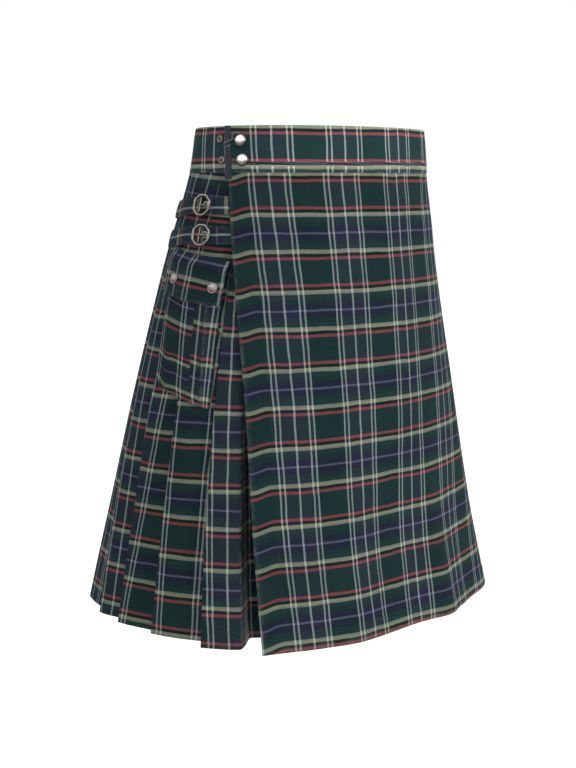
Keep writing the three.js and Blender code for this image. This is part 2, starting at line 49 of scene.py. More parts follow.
# Garment coordinates, in millimetres:
#   along - round the body from the centre front towards the wearer's right, and on round
#   depth - below the top edge of the waistband
#   out   - outward from the body's section
MM = 0.001
TOP = 27.5  # height of the waistband's top edge
LENGTH = 608.0  # depth of the hem
BAND_HEIGHT = 55.0
CLOTH_TOP = BAND_HEIGHT + 0.3  # depth at which the hanging cloth begins
UNDER_LAYER = -3.9  # the pleats' outer face where it is sunk under the apron
UNDER_END = 0.3  # how far the under end runs past the centre front, as a share of the half girth
HEM_FOLD = 20.0  # height of the hem's stitches above its edge
SETT_WARP, SETT_WEFT = 90.6, 90.7  # one repeat of the tartan, along and down
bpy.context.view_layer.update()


# ---- settings ----
def colour(name, description, default):
    return FloatVectorProperty(
        name=name, description=description, default=default, size=3, min=0, max=1, subtype="COLOR_GAMMA"
    )


def length(name, description, default):
    return FloatProperty(name=name, description=description, default=default, min=0, unit="LENGTH")


def scalar(name, description, default):
    return FloatProperty(name=name, description=description, default=default, min=0)


class KiltClothSettings(bpy.types.PropertyGroup):
    wall: length("Cloth thickness", "Thickness of one layer of the tartan", 0.0013)
    pleat_cloth: length("Cloth per pleat", "Cloth taken up by each pleat, face and folds", 0.084)
    fold_lift: length("Fold lift", "How far a fold stands off the next pleat at the hem", 0.006)
    edge_curl: length("Apron edge curl", "How far the apron's free edge stands off at the hem", 0.008)
    crease: scalar("Crease strength", "Scale of the hanging creases", 1.0)
    thread: length("Thread spacing", "Distance between threads of the weave", 0.00045)
    green: colour("Green", "Ground green of the tartan", (0.103, 0.185, 0.186))
    leaf: colour("Leaf green", "Brighter green beside the navy", (0.136, 0.212, 0.208))
    navy: colour("Navy", "Navy band of the tartan", (0.137, 0.096, 0.215))
    lavender: colour("Lavender", "Thin line in the navy band", (0.38, 0.39, 0.49))
    pale: colour("Pale line", "Pale line beside the olive", (0.53, 0.57, 0.55))
    olive: colour("Olive", "Olive line of the tartan", (0.62, 0.638, 0.53))
    black: colour("Black", "Black guard line", (0.075, 0.065, 0.065))
    red: colour("Red", "Red line of the tartan", (0.58, 0.29, 0.31))
    white: colour("White line", "Pale lines that run down the cloth", (0.62, 0.685, 0.67))
    dusk: colour("Dusk blue", "Dark stripes that run down the cloth", (0.165, 0.2, 0.24))


class KiltTrimSettings(bpy.types.PropertyGroup):
    stitch_pitch: length("Stitch pitch", "Distance from one stitch to the next", 0.0034)
    stitch_length: length("Stitch length", "Length of the thread that shows", 0.0025)
    thread: colour("Sewing thread", "Colour of the sewing thread", (0.13, 0.19, 0.18))
    binding: colour("End binding", "Colour of the waistband's turned end", (0.085, 0.12, 0.165))
    nickel: colour("Polished nickel", "Colour of the two snap caps", (0.86, 0.85, 0.84))
    silver: colour("Aged silver", "Colour of the buckles", (0.46, 0.45, 0.43))
    dull: colour("Dull silver", "Colour of the ring studs", (0.45, 0.42, 0.4))
    matte: colour("Matte metal", "Colour of the pocket snaps", (0.6, 0.56, 0.56))


class KiltStageSettings(bpy.types.PropertyGroup):
    camera_distance: length("Camera distance", "Distance from the kilt's axis to the camera", 1.78)
    lens: FloatProperty(name="Lens", description="Focal length in millimetres", default=63.5, min=10)
    key: scalar("Key light", "Power of the large soft light", 48.0)
    fill: scalar("Fill light", "Power of the second soft light", 4.6)
    front: scalar("Front light", "Power of the small light that glints in the metal", 2.2)
    world: scalar("Surrounding light", "Strength of the light all round", 0.5)
    soft_box: scalar("Soft box", "Brightness of the upper surroundings as mirrored in the metal", 2.0)
    floor_glow: scalar("Floor glow", "Brightness added to the floor as seen", 0.5)
    backdrop: scalar("Backdrop", "Brightness of the backdrop as seen", 1.0)
    floor_drop: length("Floor drop", "Distance from the hem down to the floor", 0.5)


# ---- the body's section ----
# depth, half width, reach to the front, reach to the back, widest line, roundness, apron reach
SECTIONS = np.array(
    [
        (0, 162, 121, 120, 0, 2.2, 207),
        (55, 172, 125, 130, 2, 2.1, 207),
        (170, 201, 133, 165, 15, 2.05, 207),
        (330, 231, 149, 199, 26, 2.2, 209),
        (480, 253, 164, 222, 30, 2.4, 216),
        (608, 273, 190, 246, 35, 2.5, 226),
    ],
    float,
)
HALF_WIDTH, FRONT, BACK, WIDEST, ROUNDNESS, APRON_REACH = range(1, 7)

# place and half width as shares of the half girth, outward at the hem, depth of the start
SOFT_FOLDS = (
    (1.925, 0.045, 7.0, 330),
    (1.82, 0.06, -4.0, 380),
    (0.02, 0.07, -3.0, 300),
    (0.13, 0.055, 3.0, 260),
    (0.72, 0.08, 5.0, 300),
    (0.96, 0.09, -5.0, 280),
    (1.2, 0.08, 5.0, 320),
    (1.42, 0.07, -4.0, 350),
    (1.66, 0.06, 4.0, 300),
)

# share, depth, half width, half length, outward, lean: the smaller creases of the hanging cloth
CREASES = (
    (0.26, 175, 16, 120, -1.5, 0.04),
    (0.33, 560, 13, 120, 1.4, -0.05),
    (0.2, 470, 22, 170, 1.6, 0.03),
    (0.09, 230, 26, 150, -1.2, -0.04),
    (0.06, 520, 18, 130, -1.8, 0.02),
    (1.97, 330, 30, 190, 1.3, 0.05),
    (1.955, 590, 16, 110, 2.0, -0.03),
    (1.87, 200, 20, 130, -1.3, 0.06),
    (1.85, 560, 20, 160, -2.2, 0.04),
    (1.78, 400, 17, 150, 1.7, -0.03),
    (1.73, 120, 15, 60, 1.0, 0.1),
    (1.7, 580, 15, 120, -1.8, 0.03),
    (0.15, 95, 18, 38, 0.9, -0.2),
    (1.93, 85, 24, 30, 0.8, 0.3),
    (1.81, 90, 18, 34, -0.8, -0.25),
    (0.62, 480, 18, 150, 1.6, 0.04),
    (0.83, 300, 22, 140, -1.5, -0.03),
    (0.9, 560, 17, 120, 1.8, 0.05),
    (1.07, 420, 20, 170, 1.7, 0.02),
    (1.14, 170, 24, 100, -1.2, -0.06),
    (1.27, 540, 18, 130, -1.9, 0.03),
    (1.35, 300, 19, 150, 1.4, -0.04),
    (1.5, 560, 16, 110, 1.9, 0.04),
    (1.55, 220, 22, 120, -1.3, 0.05),
)


def smoothstep(low, high, value):
    t = np.clip((np.asarray(value, float) - low) / (high - low), 0, 1)
    return t * t * (3 - 2 * t)


def swell(away):
    """One in the middle, falling softly to nothing at a distance of one."""
    return 0.5 + 0.5 * np.cos(np.pi * np.clip(away, 0, 1))


def bulge(away):
    """One in the middle, with tails that fade on either side."""
    return np.exp(-(away**2))


def stacked(*values):
    """The values of every point side by side, all spread to one shape."""
    return np.stack(np.broadcast_arrays(*values), -1)


def section(column, depth):
    """A smooth curve through one column of the section table."""
    rows, values = SECTIONS[:, 0], SECTIONS[:, column]
    depth = np.asarray(depth, float)
    last = len(rows) - 1
    place_in = np.arange(last + 1)
    before, after = np.maximum(place_in - 1, 0), np.minimum(place_in + 1, last)
    slope = (values[after] - values[before]) / (rows[after] - rows[before])
    i = np.clip(np.searchsorted(rows, depth, side="left") - 1, 0, last - 1)
    span = rows[i + 1] - rows[i]
    t = np.clip((depth - rows[i]) / span, 0, 1)
    return (
        (1 + 2 * t) * (1 - t) ** 2 * values[i]
        + t * t * (3 - 2 * t) * values[i + 1]
        + t * (1 - t) ** 2 * span * slope[i]
        + t * t * (t - 1) * span * slope[i + 1]
    )


RING_DEPTHS, RING_ANGLES, RING_SHARES = 618, 361, 1201


def measured_rings():
    """For every millimetre of depth, points and tangents at even shares of the half girth."""
    depth = np.arange(0, RING_DEPTHS)
    angle = np.pi * (np.arange(RING_ANGLES) / (RING_ANGLES - 1) - 0.5)
    column = {c: section(c, depth)[:, None] for c in (HALF_WIDTH, FRONT, BACK, WIDEST, ROUNDNESS)}
    half = np.where(angle < 0, column[FRONT] + column[WIDEST], column[BACK] - column[WIDEST])
    c, s = np.cos(angle)[None], np.sin(angle)[None]
    power = column[ROUNDNESS]
    radius = (np.abs(c / column[HALF_WIDTH]) ** power + np.abs(s / half) ** power) ** (-1 / power)
    x, y = radius * c, column[WIDEST] + radius * s
    steps = np.hypot(np.diff(x), np.diff(y))
    lengths = np.concatenate([np.zeros((len(depth), 1)), np.cumsum(steps, 1)], 1)
    girth = lengths[:, -1]
    even = np.linspace(0, 1, RING_SHARES)
    shares = lengths / girth[:, None]
    points = np.stack([[np.interp(even, *ring) for ring in zip(shares, axis)] for axis in (x, y)], -1)
    tangent = np.gradient(points, axis=1)
    tangent[:, 0] = (1, 0)
    tangent[:, -1] = (-1, 0)
    tangent /= np.linalg.norm(tangent, axis=2, keepdims=True)
    return girth, points, tangent


GIRTH, RING_POINTS, RING_TANGENTS = measured_rings()


def half_girth(depth):
    """From the centre front to the centre back at a depth."""
    return np.interp(depth, np.arange(len(GIRTH)), GIRTH)


def way_round(share, at):
    """From one share of the half girth to another by the shorter way, between -1 and 1."""
    return ((share - at + 3) % 2) - 1


def drape(share, depth):
    """How far the hanging cloth stands out or in at a share of the girth and a depth."""
    out = np.zeros(np.broadcast(share, depth).shape)
    for at, half, outward, start in SOFT_FOLDS:
        out += outward * swell(np.abs(way_round(share, at)) / half) * smoothstep(start, LENGTH, depth)
    held = bpy.context.scene.kilt_cloth.crease * smoothstep(BAND_HEIGHT + 2, BAND_HEIGHT + 30, depth)
    girth = half_girth(depth)
    for at, depth_at, half, reach, outward, lean in CREASES:
        side = way_round(share, at) * girth - lean * (depth - depth_at)
        out += held * outward * bulge(side / half) * swell(np.abs(depth - depth_at) / reach)
    return out


def place(along, depth, out):
    """Points in metres at garment coordinates."""
    along, depth, out = np.broadcast_arrays(*(np.asarray(value, float) for value in (along, depth, out)))
    held = np.clip(depth, 0, len(GIRTH) - 1.001)
    row = held.astype(int)
    f = (held - row)[..., None]
    share = (along / half_girth(held)) % 2
    side = np.where(share < 1, -1.0, 1.0)
    walked = np.where(share < 1, share, 2 - share) * (RING_SHARES - 1)
    column = np.minimum(walked.astype(int), RING_SHARES - 2)
    g = (walked - column)[..., None]

    def between(table):
        upper = table[row, column] * (1 - g) + table[row, column + 1] * g
        lower = table[row + 1, column] * (1 - g) + table[row + 1, column + 1] * g
        return upper * (1 - f) + lower * f

    point, tangent = between(RING_POINTS), between(RING_TANGENTS)
    offset = out + drape(share, held)
    x = side * (point[..., 0] + tangent[..., 1] * offset)
    y = point[..., 1] - tangent[..., 0] * offset
    return np.stack([x, y, TOP - depth], -1) * MM


def place_all(grid):
    """Points in metres for a grid of garment coordinates (along, depth, out)."""
    return place(grid[..., 0], grid[..., 1], grid[..., 2])


def layer_out(share):
    """The outer face of the cloth: sunk under the apron, rising round the back."""
    return UNDER_LAYER * (1 - smoothstep(0.6, 1.45, share))


def stand(along, depth, out, reach=3):
    """A frame on the cloth, measured over a reach on each side: +Z outward, +Y up, +X towards the
    centre front."""
    here = Vector(place(along, depth, out))
    across = Vector(place(along - reach, depth, out) - place(along + reach, depth, out)).normalized()
    up = Vector(place(along, depth - reach, out) - place(along, depth + reach, out)).normalized()
    normal = across.cross(up).normalized()
    level = normal.cross(across)
    return Matrix.Translation(here) @ Matrix((across, level, normal)).transposed().to_4x4()


# ---- meshes ----
def add_mesh(name, points, faces, material, slot, nodes=(), uv=None, wear_and_rim_shade=None):
    """A piece of the kilt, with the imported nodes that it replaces."""
    mesh = bpy.data.meshes.new(name)
    mesh.from_pydata(np.asarray(points).tolist(), [], [tuple(f) for f in faces])
    if uv is not None:
        corners = np.zeros(len(mesh.loops), np.int32)
        mesh.loops.foreach_get("vertex_index", corners)
        mesh.uv_layers.new(name="cloth").data.foreach_set("uv", np.asarray(uv, np.float32)[corners].ravel())
    # the wear attribute holds the cloth's wear, and on the metal fasteners the painted shade at their rims
    if wear_and_rim_shade is not None:
        wear_and_shade_mask = mesh.attributes.new("wear_and_rim_shade", "FLOAT", "POINT")
        wear_and_shade_mask.data.foreach_set("value", np.asarray(wear_and_rim_shade, np.float32).ravel())
    mesh.shade_smooth()
    mesh.validate()
    mesh.materials.append(bpy.data.materials[material])
    piece = bpy.data.objects.new(name, mesh)
    bpy.context.scene.collection.objects.link(piece)
    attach(piece, "root")
    if nodes:
        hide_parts(*nodes)
    return piece


def unit(v):
    """Vectors brought to a length of one."""
    return v / np.maximum(np.linalg.norm(v, axis=-1, keepdims=True), 1e-12)


def grid_normals(middle):
    """Outward normals of a grid of points whose columns run along and rows down."""
    steps = unit(np.diff(middle, axis=1))
    across = np.concatenate([steps[:, :1], steps[:, :-1] + steps[:, 1:], steps[:, -1:]], 1)
    return unit(np.cross(across, np.gradient(middle, axis=0)))


EDGE_ROUND = 0.8  # how far a cut edge bulges, as a share of half the wall


def cloth_wall(middle, thickness):
    """A closed cloth wall round a grid of middle points, with soft edges: points, faces, and
    the grid place that each point belongs to."""
    rows, columns = middle.shape[:2]
    normal = grid_normals(middle)
    half = np.broadcast_to(np.asarray(thickness, float) * MM / 2, (rows, columns))[..., None]
    outer, inner = middle + normal * half, middle - normal * half
    index = np.arange(rows * columns).reshape(rows, columns)
    quads = np.stack([index[:-1, :-1], index[:-1, 1:], index[1:, 1:], index[1:, :-1]], -1).reshape(-1, 4)
    count = rows * columns
    rim = np.concatenate([index[0, :-1], index[:-1, -1], index[-1, :0:-1], index[:0:-1, 0]])
    r, c = rim // columns, rim % columns
    near = np.clip(r, 1, rows - 2) * columns + np.clip(c, 1, columns - 2)
    flat_middle, flat_half = middle.reshape(-1, 3), half.reshape(-1, 1)
    away = unit(flat_middle[rim] - flat_middle[near])
    edge = flat_middle[rim] + away * flat_half[rim] * EDGE_ROUND
    ring = 2 * count + np.arange(len(rim))
    following = np.roll(np.arange(len(rim)), -1)
    upper = np.stack([rim, ring, ring[following], rim[following]], -1)
    lower = np.stack([rim[following] + count, ring[following], ring, rim + count], -1)
    faces = np.concatenate([quads, quads[:, ::-1] + count, upper, lower])
    points = np.concatenate([outer.reshape(-1, 3), inner.reshape(-1, 3), edge])
    belongs = np.concatenate([index.ravel(), index.ravel(), rim])
    return points, faces, belongs


def add_cloth(name, grid, thickness, uv, nodes=(), wear_and_rim_shade=0.0, material="Tartan cloth", slot="tartan_cloth"):
    """A cloth piece from a grid of garment coordinates (along, depth, out)."""
    points, faces, belongs = cloth_wall(place_all(grid), thickness)
    wear_and_shade_mask = np.broadcast_to(np.asarray(wear_and_rim_shade, float), grid.shape[:2]).ravel()[belongs]
    uv = np.broadcast_to(uv, grid.shape[:2] + (2,)).reshape(-1, 2)[belongs] * MM
    return add_mesh(name, points, faces, material, slot, nodes, uv, wear_and_shade_mask)


def rounded(path, keep=0.75, times=2):
    """Cuts the corners of paths held as (rows, points, values)."""
    for _ in range(times):
        a, b = path[:, :-1], path[:, 1:]
        cut = np.stack([keep * a + (1 - keep) * b, (1 - keep) * a + keep * b], 2)
        path = np.concatenate([path[:, :1], cut.reshape(len(path), -1, path.shape[2]), path[:, -1:]], 1)
    return path


def tube(points, radius, sides, closed=False, flatten=1.0):
    """A tube round a line of points in metres, as points and faces."""
    points = np.asarray(points, float)
    if closed:
        tangent = unit(np.roll(points, -1, 0) - np.roll(points, 1, 0))
    else:
        tangent = unit(np.gradient(points, axis=0))
    side = unit(np.cross(tangent, (0, 0, 1.0)))
    lift = np.cross(side, tangent)
    turn = np.arange(sides) * 2 * np.pi / sides
    radius = np.broadcast_to(np.asarray(radius, float), (len(points),))[:, None, None]
    ring = (
        points[:, None]
        + side[:, None] * np.cos(turn)[None, :, None] * radius
        + lift[:, None] * np.sin(turn)[None, :, None] * radius * flatten
    )
    count = len(points)
    index = np.arange(count * sides).reshape(count, sides)
    rows = index if not closed else np.concatenate([index, index[:1]])
    right = np.roll(rows, -1, 1)
    quads = np.stack([rows[:-1], rows[1:], right[1:], right[:-1]], -1).reshape(-1, 4)
    faces = [tuple(q) for q in quads]
    if not closed:
        faces += [tuple(index[0]), tuple(index[-1][::-1])]
    return ring.reshape(-1, 3), faces


def joined(parts):
    """Several (points, faces) as one."""
    points, faces, start = [], [], 0
    for part_points, part_faces in parts:
        points.append(np.asarray(part_points))
        faces += [tuple(int(i) + start for i in f) for f in part_faces]
        start += len(part_points)
    return np.concatenate(points), faces


def turned(profile, segments=48):
    """A solid of revolution about +Z from (radius, height) pairs in millimetres that start
    and end on the axis, or that close on themselves round a hole."""
    angle = np.arange(segments) * 2 * np.pi / segments
    points, rings = [], []
    for radius, height in profile:
        if radius < 1e-6:
            rings.append([len(points)])
            points.append((0, 0, height))
        else:
            rings.append(list(range(len(points), len(points) + segments)))
            points += [(radius * math.cos(a), radius * math.sin(a), height) for a in angle]
    faces = []
    for low, high in zip(rings[:-1], rings[1:]):
        for i in range(segments):
            j = (i + 1) % segments
            if len(low) == 1 and len(high) > 1:
                faces.append((low[0], high[j], high[i]))
            elif len(high) == 1 and len(low) > 1:
                faces.append((low[i], low[j], high[0]))
            elif len(low) > 1:
                faces.append((low[i], low[j], high[j], high[i]))
    return np.array(points, float) * MM, faces


def painted_rim_shade(part):
    """Where a turned part is painted darker in the grime colour: towards its rim, a painted shade for the
    dark rim that a polished dome mirrors.
    """
    radius = np.hypot(part[0][:, 0], part[0][:, 1])
    return smoothstep(0.6, 0.95, radius / radius.max())


def moved(part, matrix):
    """A (points, faces) part at a matrix."""
    points, faces = part
    turn = np.array(matrix.to_3x3())
    return points @ turn.T + np.array(matrix.translation), faces


# a stitch from end to end: place along it, rise over the cloth, share of its full radius
STITCH = np.array(
    [(0, -0.25, 0.25), (0.12, 0.05, 0.85), (0.5, 0.16, 1), (0.88, 0.05, 0.85), (1, -0.25, 0.25)]
).T


def add_stitches(name, lines, slot="tartan_cloth", radius=0.27):
    """Rows of thread stitches. Each line is a grid (n, 3) of garment coordinates."""
    trim = bpy.context.scene.kilt_trim
    pitch, long = trim.stitch_pitch, trim.stitch_length
    places, rise, share = STITCH
    parts = []
    for line in lines:
        steps = np.linalg.norm(np.diff(place_all(line), axis=0), axis=1)
        walked = np.concatenate([[0], np.cumsum(steps)])
        for start in np.arange(pitch * 0.3, walked[-1] - long, pitch):
            along, depth, out = (np.interp(start + places * long, walked, line[:, i]) for i in range(3))
            parts.append(tube(place(along, depth, out + rise), share * radius * MM, 5))
    add_mesh(name, *joined(parts), "Sewing thread", slot)


# ---- materials ----
class Net:
    """Short ways to lay and join nodes in one tree."""

    def __init__(self, tree):
        self.tree = tree

    def node(self, kind, **values):
        made = self.tree.nodes.new(kind)
        for name, value in values.items():
            setattr(made, name, value)
        return made

    def join(self, value, socket):
        if isinstance(value, bpy.types.NodeSocket):
            self.tree.links.new(value, socket)
        elif value is not None:
            socket.default_value = value

    def math(self, operation, *values, clamp=False):
        made = self.node("ShaderNodeMath", operation=operation, use_clamp=clamp)
        for value, socket in zip(values, made.inputs):
            self.join(value, socket)
        return made.outputs[0]

    def mix(self, factor, a, b, blend="MIX"):
        made = self.node("ShaderNodeMix", data_type="RGBA", blend_type=blend)
        self.join(factor, made.inputs[0])
        self.join(a, made.inputs[6])
        self.join(b, made.inputs[7])
        return made.outputs[2]

    def noise(self, vector, scale, detail=3.0, roughness=0.5):
        made = self.node("ShaderNodeTexNoise")
        self.join(vector, made.inputs["Vector"])
        for name, value in (("Scale", scale), ("Detail", detail), ("Roughness", roughness)):
            made.inputs[name].default_value = value
        return made.outputs["Fac"]

    def uneven(self, vector, scale, detail, amount):
        """Noise spread evenly about nothing."""
        return self.span(self.noise(vector, scale, detail), 0.3, 0.7, -amount, amount)

    def span(self, value, low, high, to_low=0.0, to_high=1.0):
        made = self.node("ShaderNodeMapRange")
        for v, socket in zip((value, low, high, to_low, to_high), made.inputs):
            self.join(v, socket)
        return made.outputs[0]

    def ramp(self, value, stops):
        """Flat colours from (position, colour) pairs."""
        made = self.node("ShaderNodeValToRGB")
        made.color_ramp.interpolation = "CONSTANT"
        points = made.color_ramp.elements
        while len(points) < len(stops):
            points.new(1.0)
        for point, (position, tint) in zip(points, stops):
            point.position = position
            point.color = tint
        self.join(value, made.inputs[0])
        return made.outputs[0]

    def vector(self, x, y):
        made = self.node("ShaderNodeCombineXYZ")
        self.join(x, made.inputs[0])
        self.join(y, made.inputs[1])
        return made.outputs[0]

    def grey(self, value):
        made = self.node("ShaderNodeCombineColor")
        for socket in made.inputs[:3]:
            self.join(value, socket)
        return made.outputs[0]

    def on_object(self):
        return self.node("ShaderNodeTexCoord").outputs["Object"]

    def bump(self, height, strength, distance, shader):
        made = self.node("ShaderNodeBump")
        made.inputs["Strength"].default_value = strength
        made.inputs["Distance"].default_value = distance
        self.join(height, made.inputs["Height"])
        self.join(made.outputs[0], shader.inputs["Normal"])


def linear(tint):
    """A stated colour as the linear values that the shaders take."""
    return tuple(c / 12.92 if c <= 0.04045 else ((c + 0.055) / 1.055) ** 2.4 for c in tint) + (1.0,)


def new_group(name, inputs, outputs):
    tree = bpy.data.node_groups.new(name, "ShaderNodeTree")
    for label, kind, default in inputs:
        socket = tree.interface.new_socket(label, in_out="INPUT", socket_type=kind)
        if default is not None:
            socket.default_value = default
    for label, kind in outputs:
        tree.interface.new_socket(label, in_out="OUTPUT", socket_type=kind)
    net = Net(tree)
    return net, net.node("NodeGroupInput"), net.node("NodeGroupOutput")


# the tartan's stripes over half a repeat: where each starts in millimetres, and its colour
WEFT_STRIPES = (
    (0, "lavender"),
    (1.1, "navy"),
    (8.25, "green"),
    (13.5, "leaf"),
    (17.6, "green"),
    (18.8, "pale"),
    (20.4, "olive"),
    (23.9, "black"),
    (27.5, "red"),
    (31.1, "green"),
)
WARP_STRIPES = (
    (0, "white"),
    (1.15, "dusk"),
    (17.2, "white"),
    (19.3, "dusk"),
    (23.3, "white"),
    (25.4, "green"),
)
CROSSING = (0.64, 0.3, 0.28, 1)  # how much brighter two coloured lines are where they cross


def stripes_at(net, place_at, stripes, repeat):
    """The colour at a place in millimetres, mirrored at every half repeat."""
    cloth = bpy.context.scene.kilt_cloth
    half = repeat / 2
    share = net.math("DIVIDE", net.math("PINGPONG", place_at, half), half)
    return net.ramp(share, [(start / half, linear(getattr(cloth, name))) for start, name in stripes])


def tartan_group():
    """Colour and thread height of the woven tartan, from cloth coordinates in metres."""
    net, given, out = new_group(
        "Woven tartan",
        (
            ("Cloth", "NodeSocketVector", None),
            ("Thread", "NodeSocketFloat", 0.45),
            ("Contrast", "NodeSocketFloat", 0.3),
            ("Shade", "NodeSocketFloat", 1.0),
        ),
        (("Color", "NodeSocketColor"), ("Height", "NodeSocketFloat")),
    )
    cloth = given.outputs["Cloth"]
    wobble = net.node("ShaderNodeTexNoise")
    net.join(cloth, wobble.inputs["Vector"])
    wobble.inputs["Scale"].default_value = 28.0
    parts = net.node("ShaderNodeSeparateXYZ")
    net.join(cloth, parts.inputs[0])
    drift = net.node("ShaderNodeSeparateColor")
    net.join(wobble.outputs["Color"], drift.inputs[0])
    across, down = (
        net.math("MULTIPLY_ADD", at, 1 / MM, net.span(moved_by, 0.2, 0.8, -amount, amount))
        for at, moved_by, amount in zip(parts.outputs, drift.outputs, (0.8, 0.9))
    )
    warp = stripes_at(net, across, WARP_STRIPES, SETT_WARP)
    weft = stripes_at(net, down, WEFT_STRIPES, SETT_WEFT)
    turn = net.math("DIVIDE", 2 * math.pi, given.outputs["Thread"])
    twill = net.math("MULTIPLY", net.math("ADD", across, down), net.math("MULTIPLY", turn, 0.25))
    diagonal = net.math("SINE", twill)
    factor = net.math("MULTIPLY_ADD", diagonal, given.outputs["Contrast"], 0.5)
    crossing = net.mix(1.0, net.mix(1.0, warp, weft, "MULTIPLY"), CROSSING, "MULTIPLY")
    woven = net.mix(1.0, net.mix(factor, warp, weft), crossing, "ADD")
    streaks = [
        net.uneven(net.vector(net.math("MULTIPLY", across, x), net.math("MULTIPLY", down, y)), 1.0, 2.0, 0.1)
        for x, y in ((1.6, 0.03), (0.03, 1.6))
    ]
    patches = net.uneven(cloth, 14.0, 4.0, 0.1)
    flecks = net.uneven(cloth, 1100.0, 2.0, 0.12)
    level = net.math("ADD", net.math("ADD", *streaks), net.math("ADD", patches, flecks))
    level = net.math("ADD", level, 1.0)
    # Shade scales the whole colour: painted light, giving a lighter copy of the same cloth
    level = net.math("MULTIPLY", level, given.outputs["Shade"])
    net.join(net.mix(1.0, woven, net.grey(level), "MULTIPLY"), out.inputs["Color"])
    under = net.math("SUBTRACT", 1.0, factor)
    crowns = net.math(
        "MAXIMUM",
        net.math("MULTIPLY", net.math("SINE", net.math("MULTIPLY", across, turn)), factor),
        net.math("MULTIPLY", net.math("SINE", net.math("MULTIPLY", down, turn)), under),
    )
    net.join(net.math("MULTIPLY_ADD", diagonal, 0.35, crowns), out.inputs["Height"])


def wear_group():
    """Rubbed folds and a little dust: lightens and roughens what stands out."""
    net, given, out = new_group(
        "Rubbed cloth",
        (("Color", "NodeSocketColor", None), ("Amount", "NodeSocketFloat", 0.3)),
        (("Color", "NodeSocketColor"), ("Roughness", "NodeSocketFloat")),
    )
    wear_and_shade_mask = net.node("ShaderNodeAttribute", attribute_name="wear_and_rim_shade").outputs["Fac"]
    place_at = net.on_object()
    broken = net.span(net.noise(place_at, 90.0), 0.35, 0.7)
    mask = net.math("MULTIPLY", net.math("MULTIPLY", wear_and_shade_mask, broken), given.outputs["Amount"], clamp=True)
    net.join(net.mix(mask, given.outputs["Color"], (0.22, 0.24, 0.23, 1)), out.inputs["Color"])
    net.join(net.span(net.noise(place_at, 45.0), 0.3, 0.7, 0.8, 0.95), out.inputs["Roughness"])


def tarnish_group():
    """Colour, roughness and relief of scratched metal with spots of grime."""
    net, given, out = new_group(
        "Tarnish",
        (
            ("Color", "NodeSocketColor", None),
            ("Grime", "NodeSocketColor", None),
            ("Amount", "NodeSocketFloat", 0.4),
            ("Smooth", "NodeSocketFloat", 0.2),
            ("Rough", "NodeSocketFloat", 0.5),
        ),
        (("Color", "NodeSocketColor"), ("Roughness", "NodeSocketFloat"), ("Height", "NodeSocketFloat")),
    )
    place_at = net.on_object()
    spots = net.span(net.noise(place_at, 420.0, 4.0, 0.6), 0.42, 0.66)
    scratches = net.node("ShaderNodeTexNoise")
    stretched = net.node("ShaderNodeMapping")
    stretched.inputs["Scale"].default_value = (900.0, 900.0, 5200.0)
    net.join(place_at, stretched.inputs["Vector"])
    net.join(stretched.outputs[0], scratches.inputs["Vector"])
    scratches.inputs["Scale"].default_value = 1.0
    scratched = scratches.outputs["Fac"]
    mask = net.math("MULTIPLY", spots, given.outputs["Amount"], clamp=True)
    net.join(net.mix(mask, given.outputs["Color"], given.outputs["Grime"]), out.inputs["Color"])
    rough = net.math("MULTIPLY_ADD", scratched, 0.12, given.outputs["Smooth"])
    grimy = net.math("MULTIPLY", mask, given.outputs["Rough"])
    net.join(net.math("ADD", rough, grimy), out.inputs["Roughness"])
    net.join(net.math("ADD", scratched, net.math("MULTIPLY", spots, -0.6)), out.inputs["Height"])


def new_material(name):
    material = bpy.data.materials.new(name)
    material.use_nodes = True
    return Net(material.node_tree), material.node_tree.nodes["Principled BSDF"]


def placed(net, group, **values):
    """A node of one of the groups, with its inputs."""
    made = net.node("ShaderNodeGroup")
    made.node_tree = bpy.data.node_groups[group]
    for name, value in values.items():
        net.join(value, made.inputs[name])
    return made


def tartan_material(name, contrast, dust, shade=1.0):
    """The woven tartan, coloured by the mesh's cloth coordinates."""
    net, shader = new_material(name)
    cloth = net.node("ShaderNodeUVMap", uv_map="cloth").outputs[0]
    thread = bpy.context.scene.kilt_cloth.thread / MM
    woven = placed(net, "Woven tartan", Cloth=cloth, Thread=thread, Contrast=contrast, Shade=shade)
    rubbed = placed(net, "Rubbed cloth", Color=woven.outputs["Color"], Amount=dust)
    net.join(rubbed.outputs["Color"], shader.inputs["Base Color"])
    net.join(rubbed.outputs["Roughness"], shader.inputs["Roughness"])
    net.bump(woven.outputs["Height"], 0.35, 0.00012, shader)
    shader.inputs["Specular IOR Level"].default_value = 0.05
    shader.inputs["Sheen Weight"].default_value = 0.02
    shader.inputs["Sheen Roughness"].default_value = 0.45


def thread_material(name, tint):
    """Twisted thread, which also makes the bound edge."""
    net, shader = new_material(name)
    place_at = net.on_object()
    uneven = net.span(net.noise(place_at, 700.0), 0.3, 0.7, 0.75, 1.25)
    net.join(net.mix(1.0, linear(tint), net.grey(uneven), "MULTIPLY"), shader.inputs["Base Color"])
    net.join(net.span(uneven, 0.75, 1.25, 0.7, 0.9), shader.inputs["Roughness"])
    twist = net.node("ShaderNodeTexWave", bands_direction="DIAGONAL")
    twist.inputs["Scale"].default_value = 1400.0
    net.join(place_at, twist.inputs["Vector"])
    net.bump(twist.outputs["Fac"], 0.4, 0.0001, shader)
    shader.inputs["Sheen Weight"].default_value = 0.1


# name, setting of its colour, grime, share of spots, smooth and grimy roughness, relief in metres,
# and share of the grime colour painted at the rims as painted shade
METALS = (
    ("Polished nickel", "nickel", (0.12, 0.1, 0.1), 0.12, 0.2, 0.25, 0.00002, 0.85),
    ("Aged silver", "silver", (0.16, 0.15, 0.14), 0.45, 0.2, 0.3, 0.00006, 0.5),
    ("Dull silver", "dull", (0.1, 0.09, 0.09), 0.6, 0.3, 0.3, 0.00006, 0.5),
    ("Matte metal", "matte", (0.3, 0.27, 0.26), 0.5, 0.42, 0.2, 0.00005, 0.4),
)


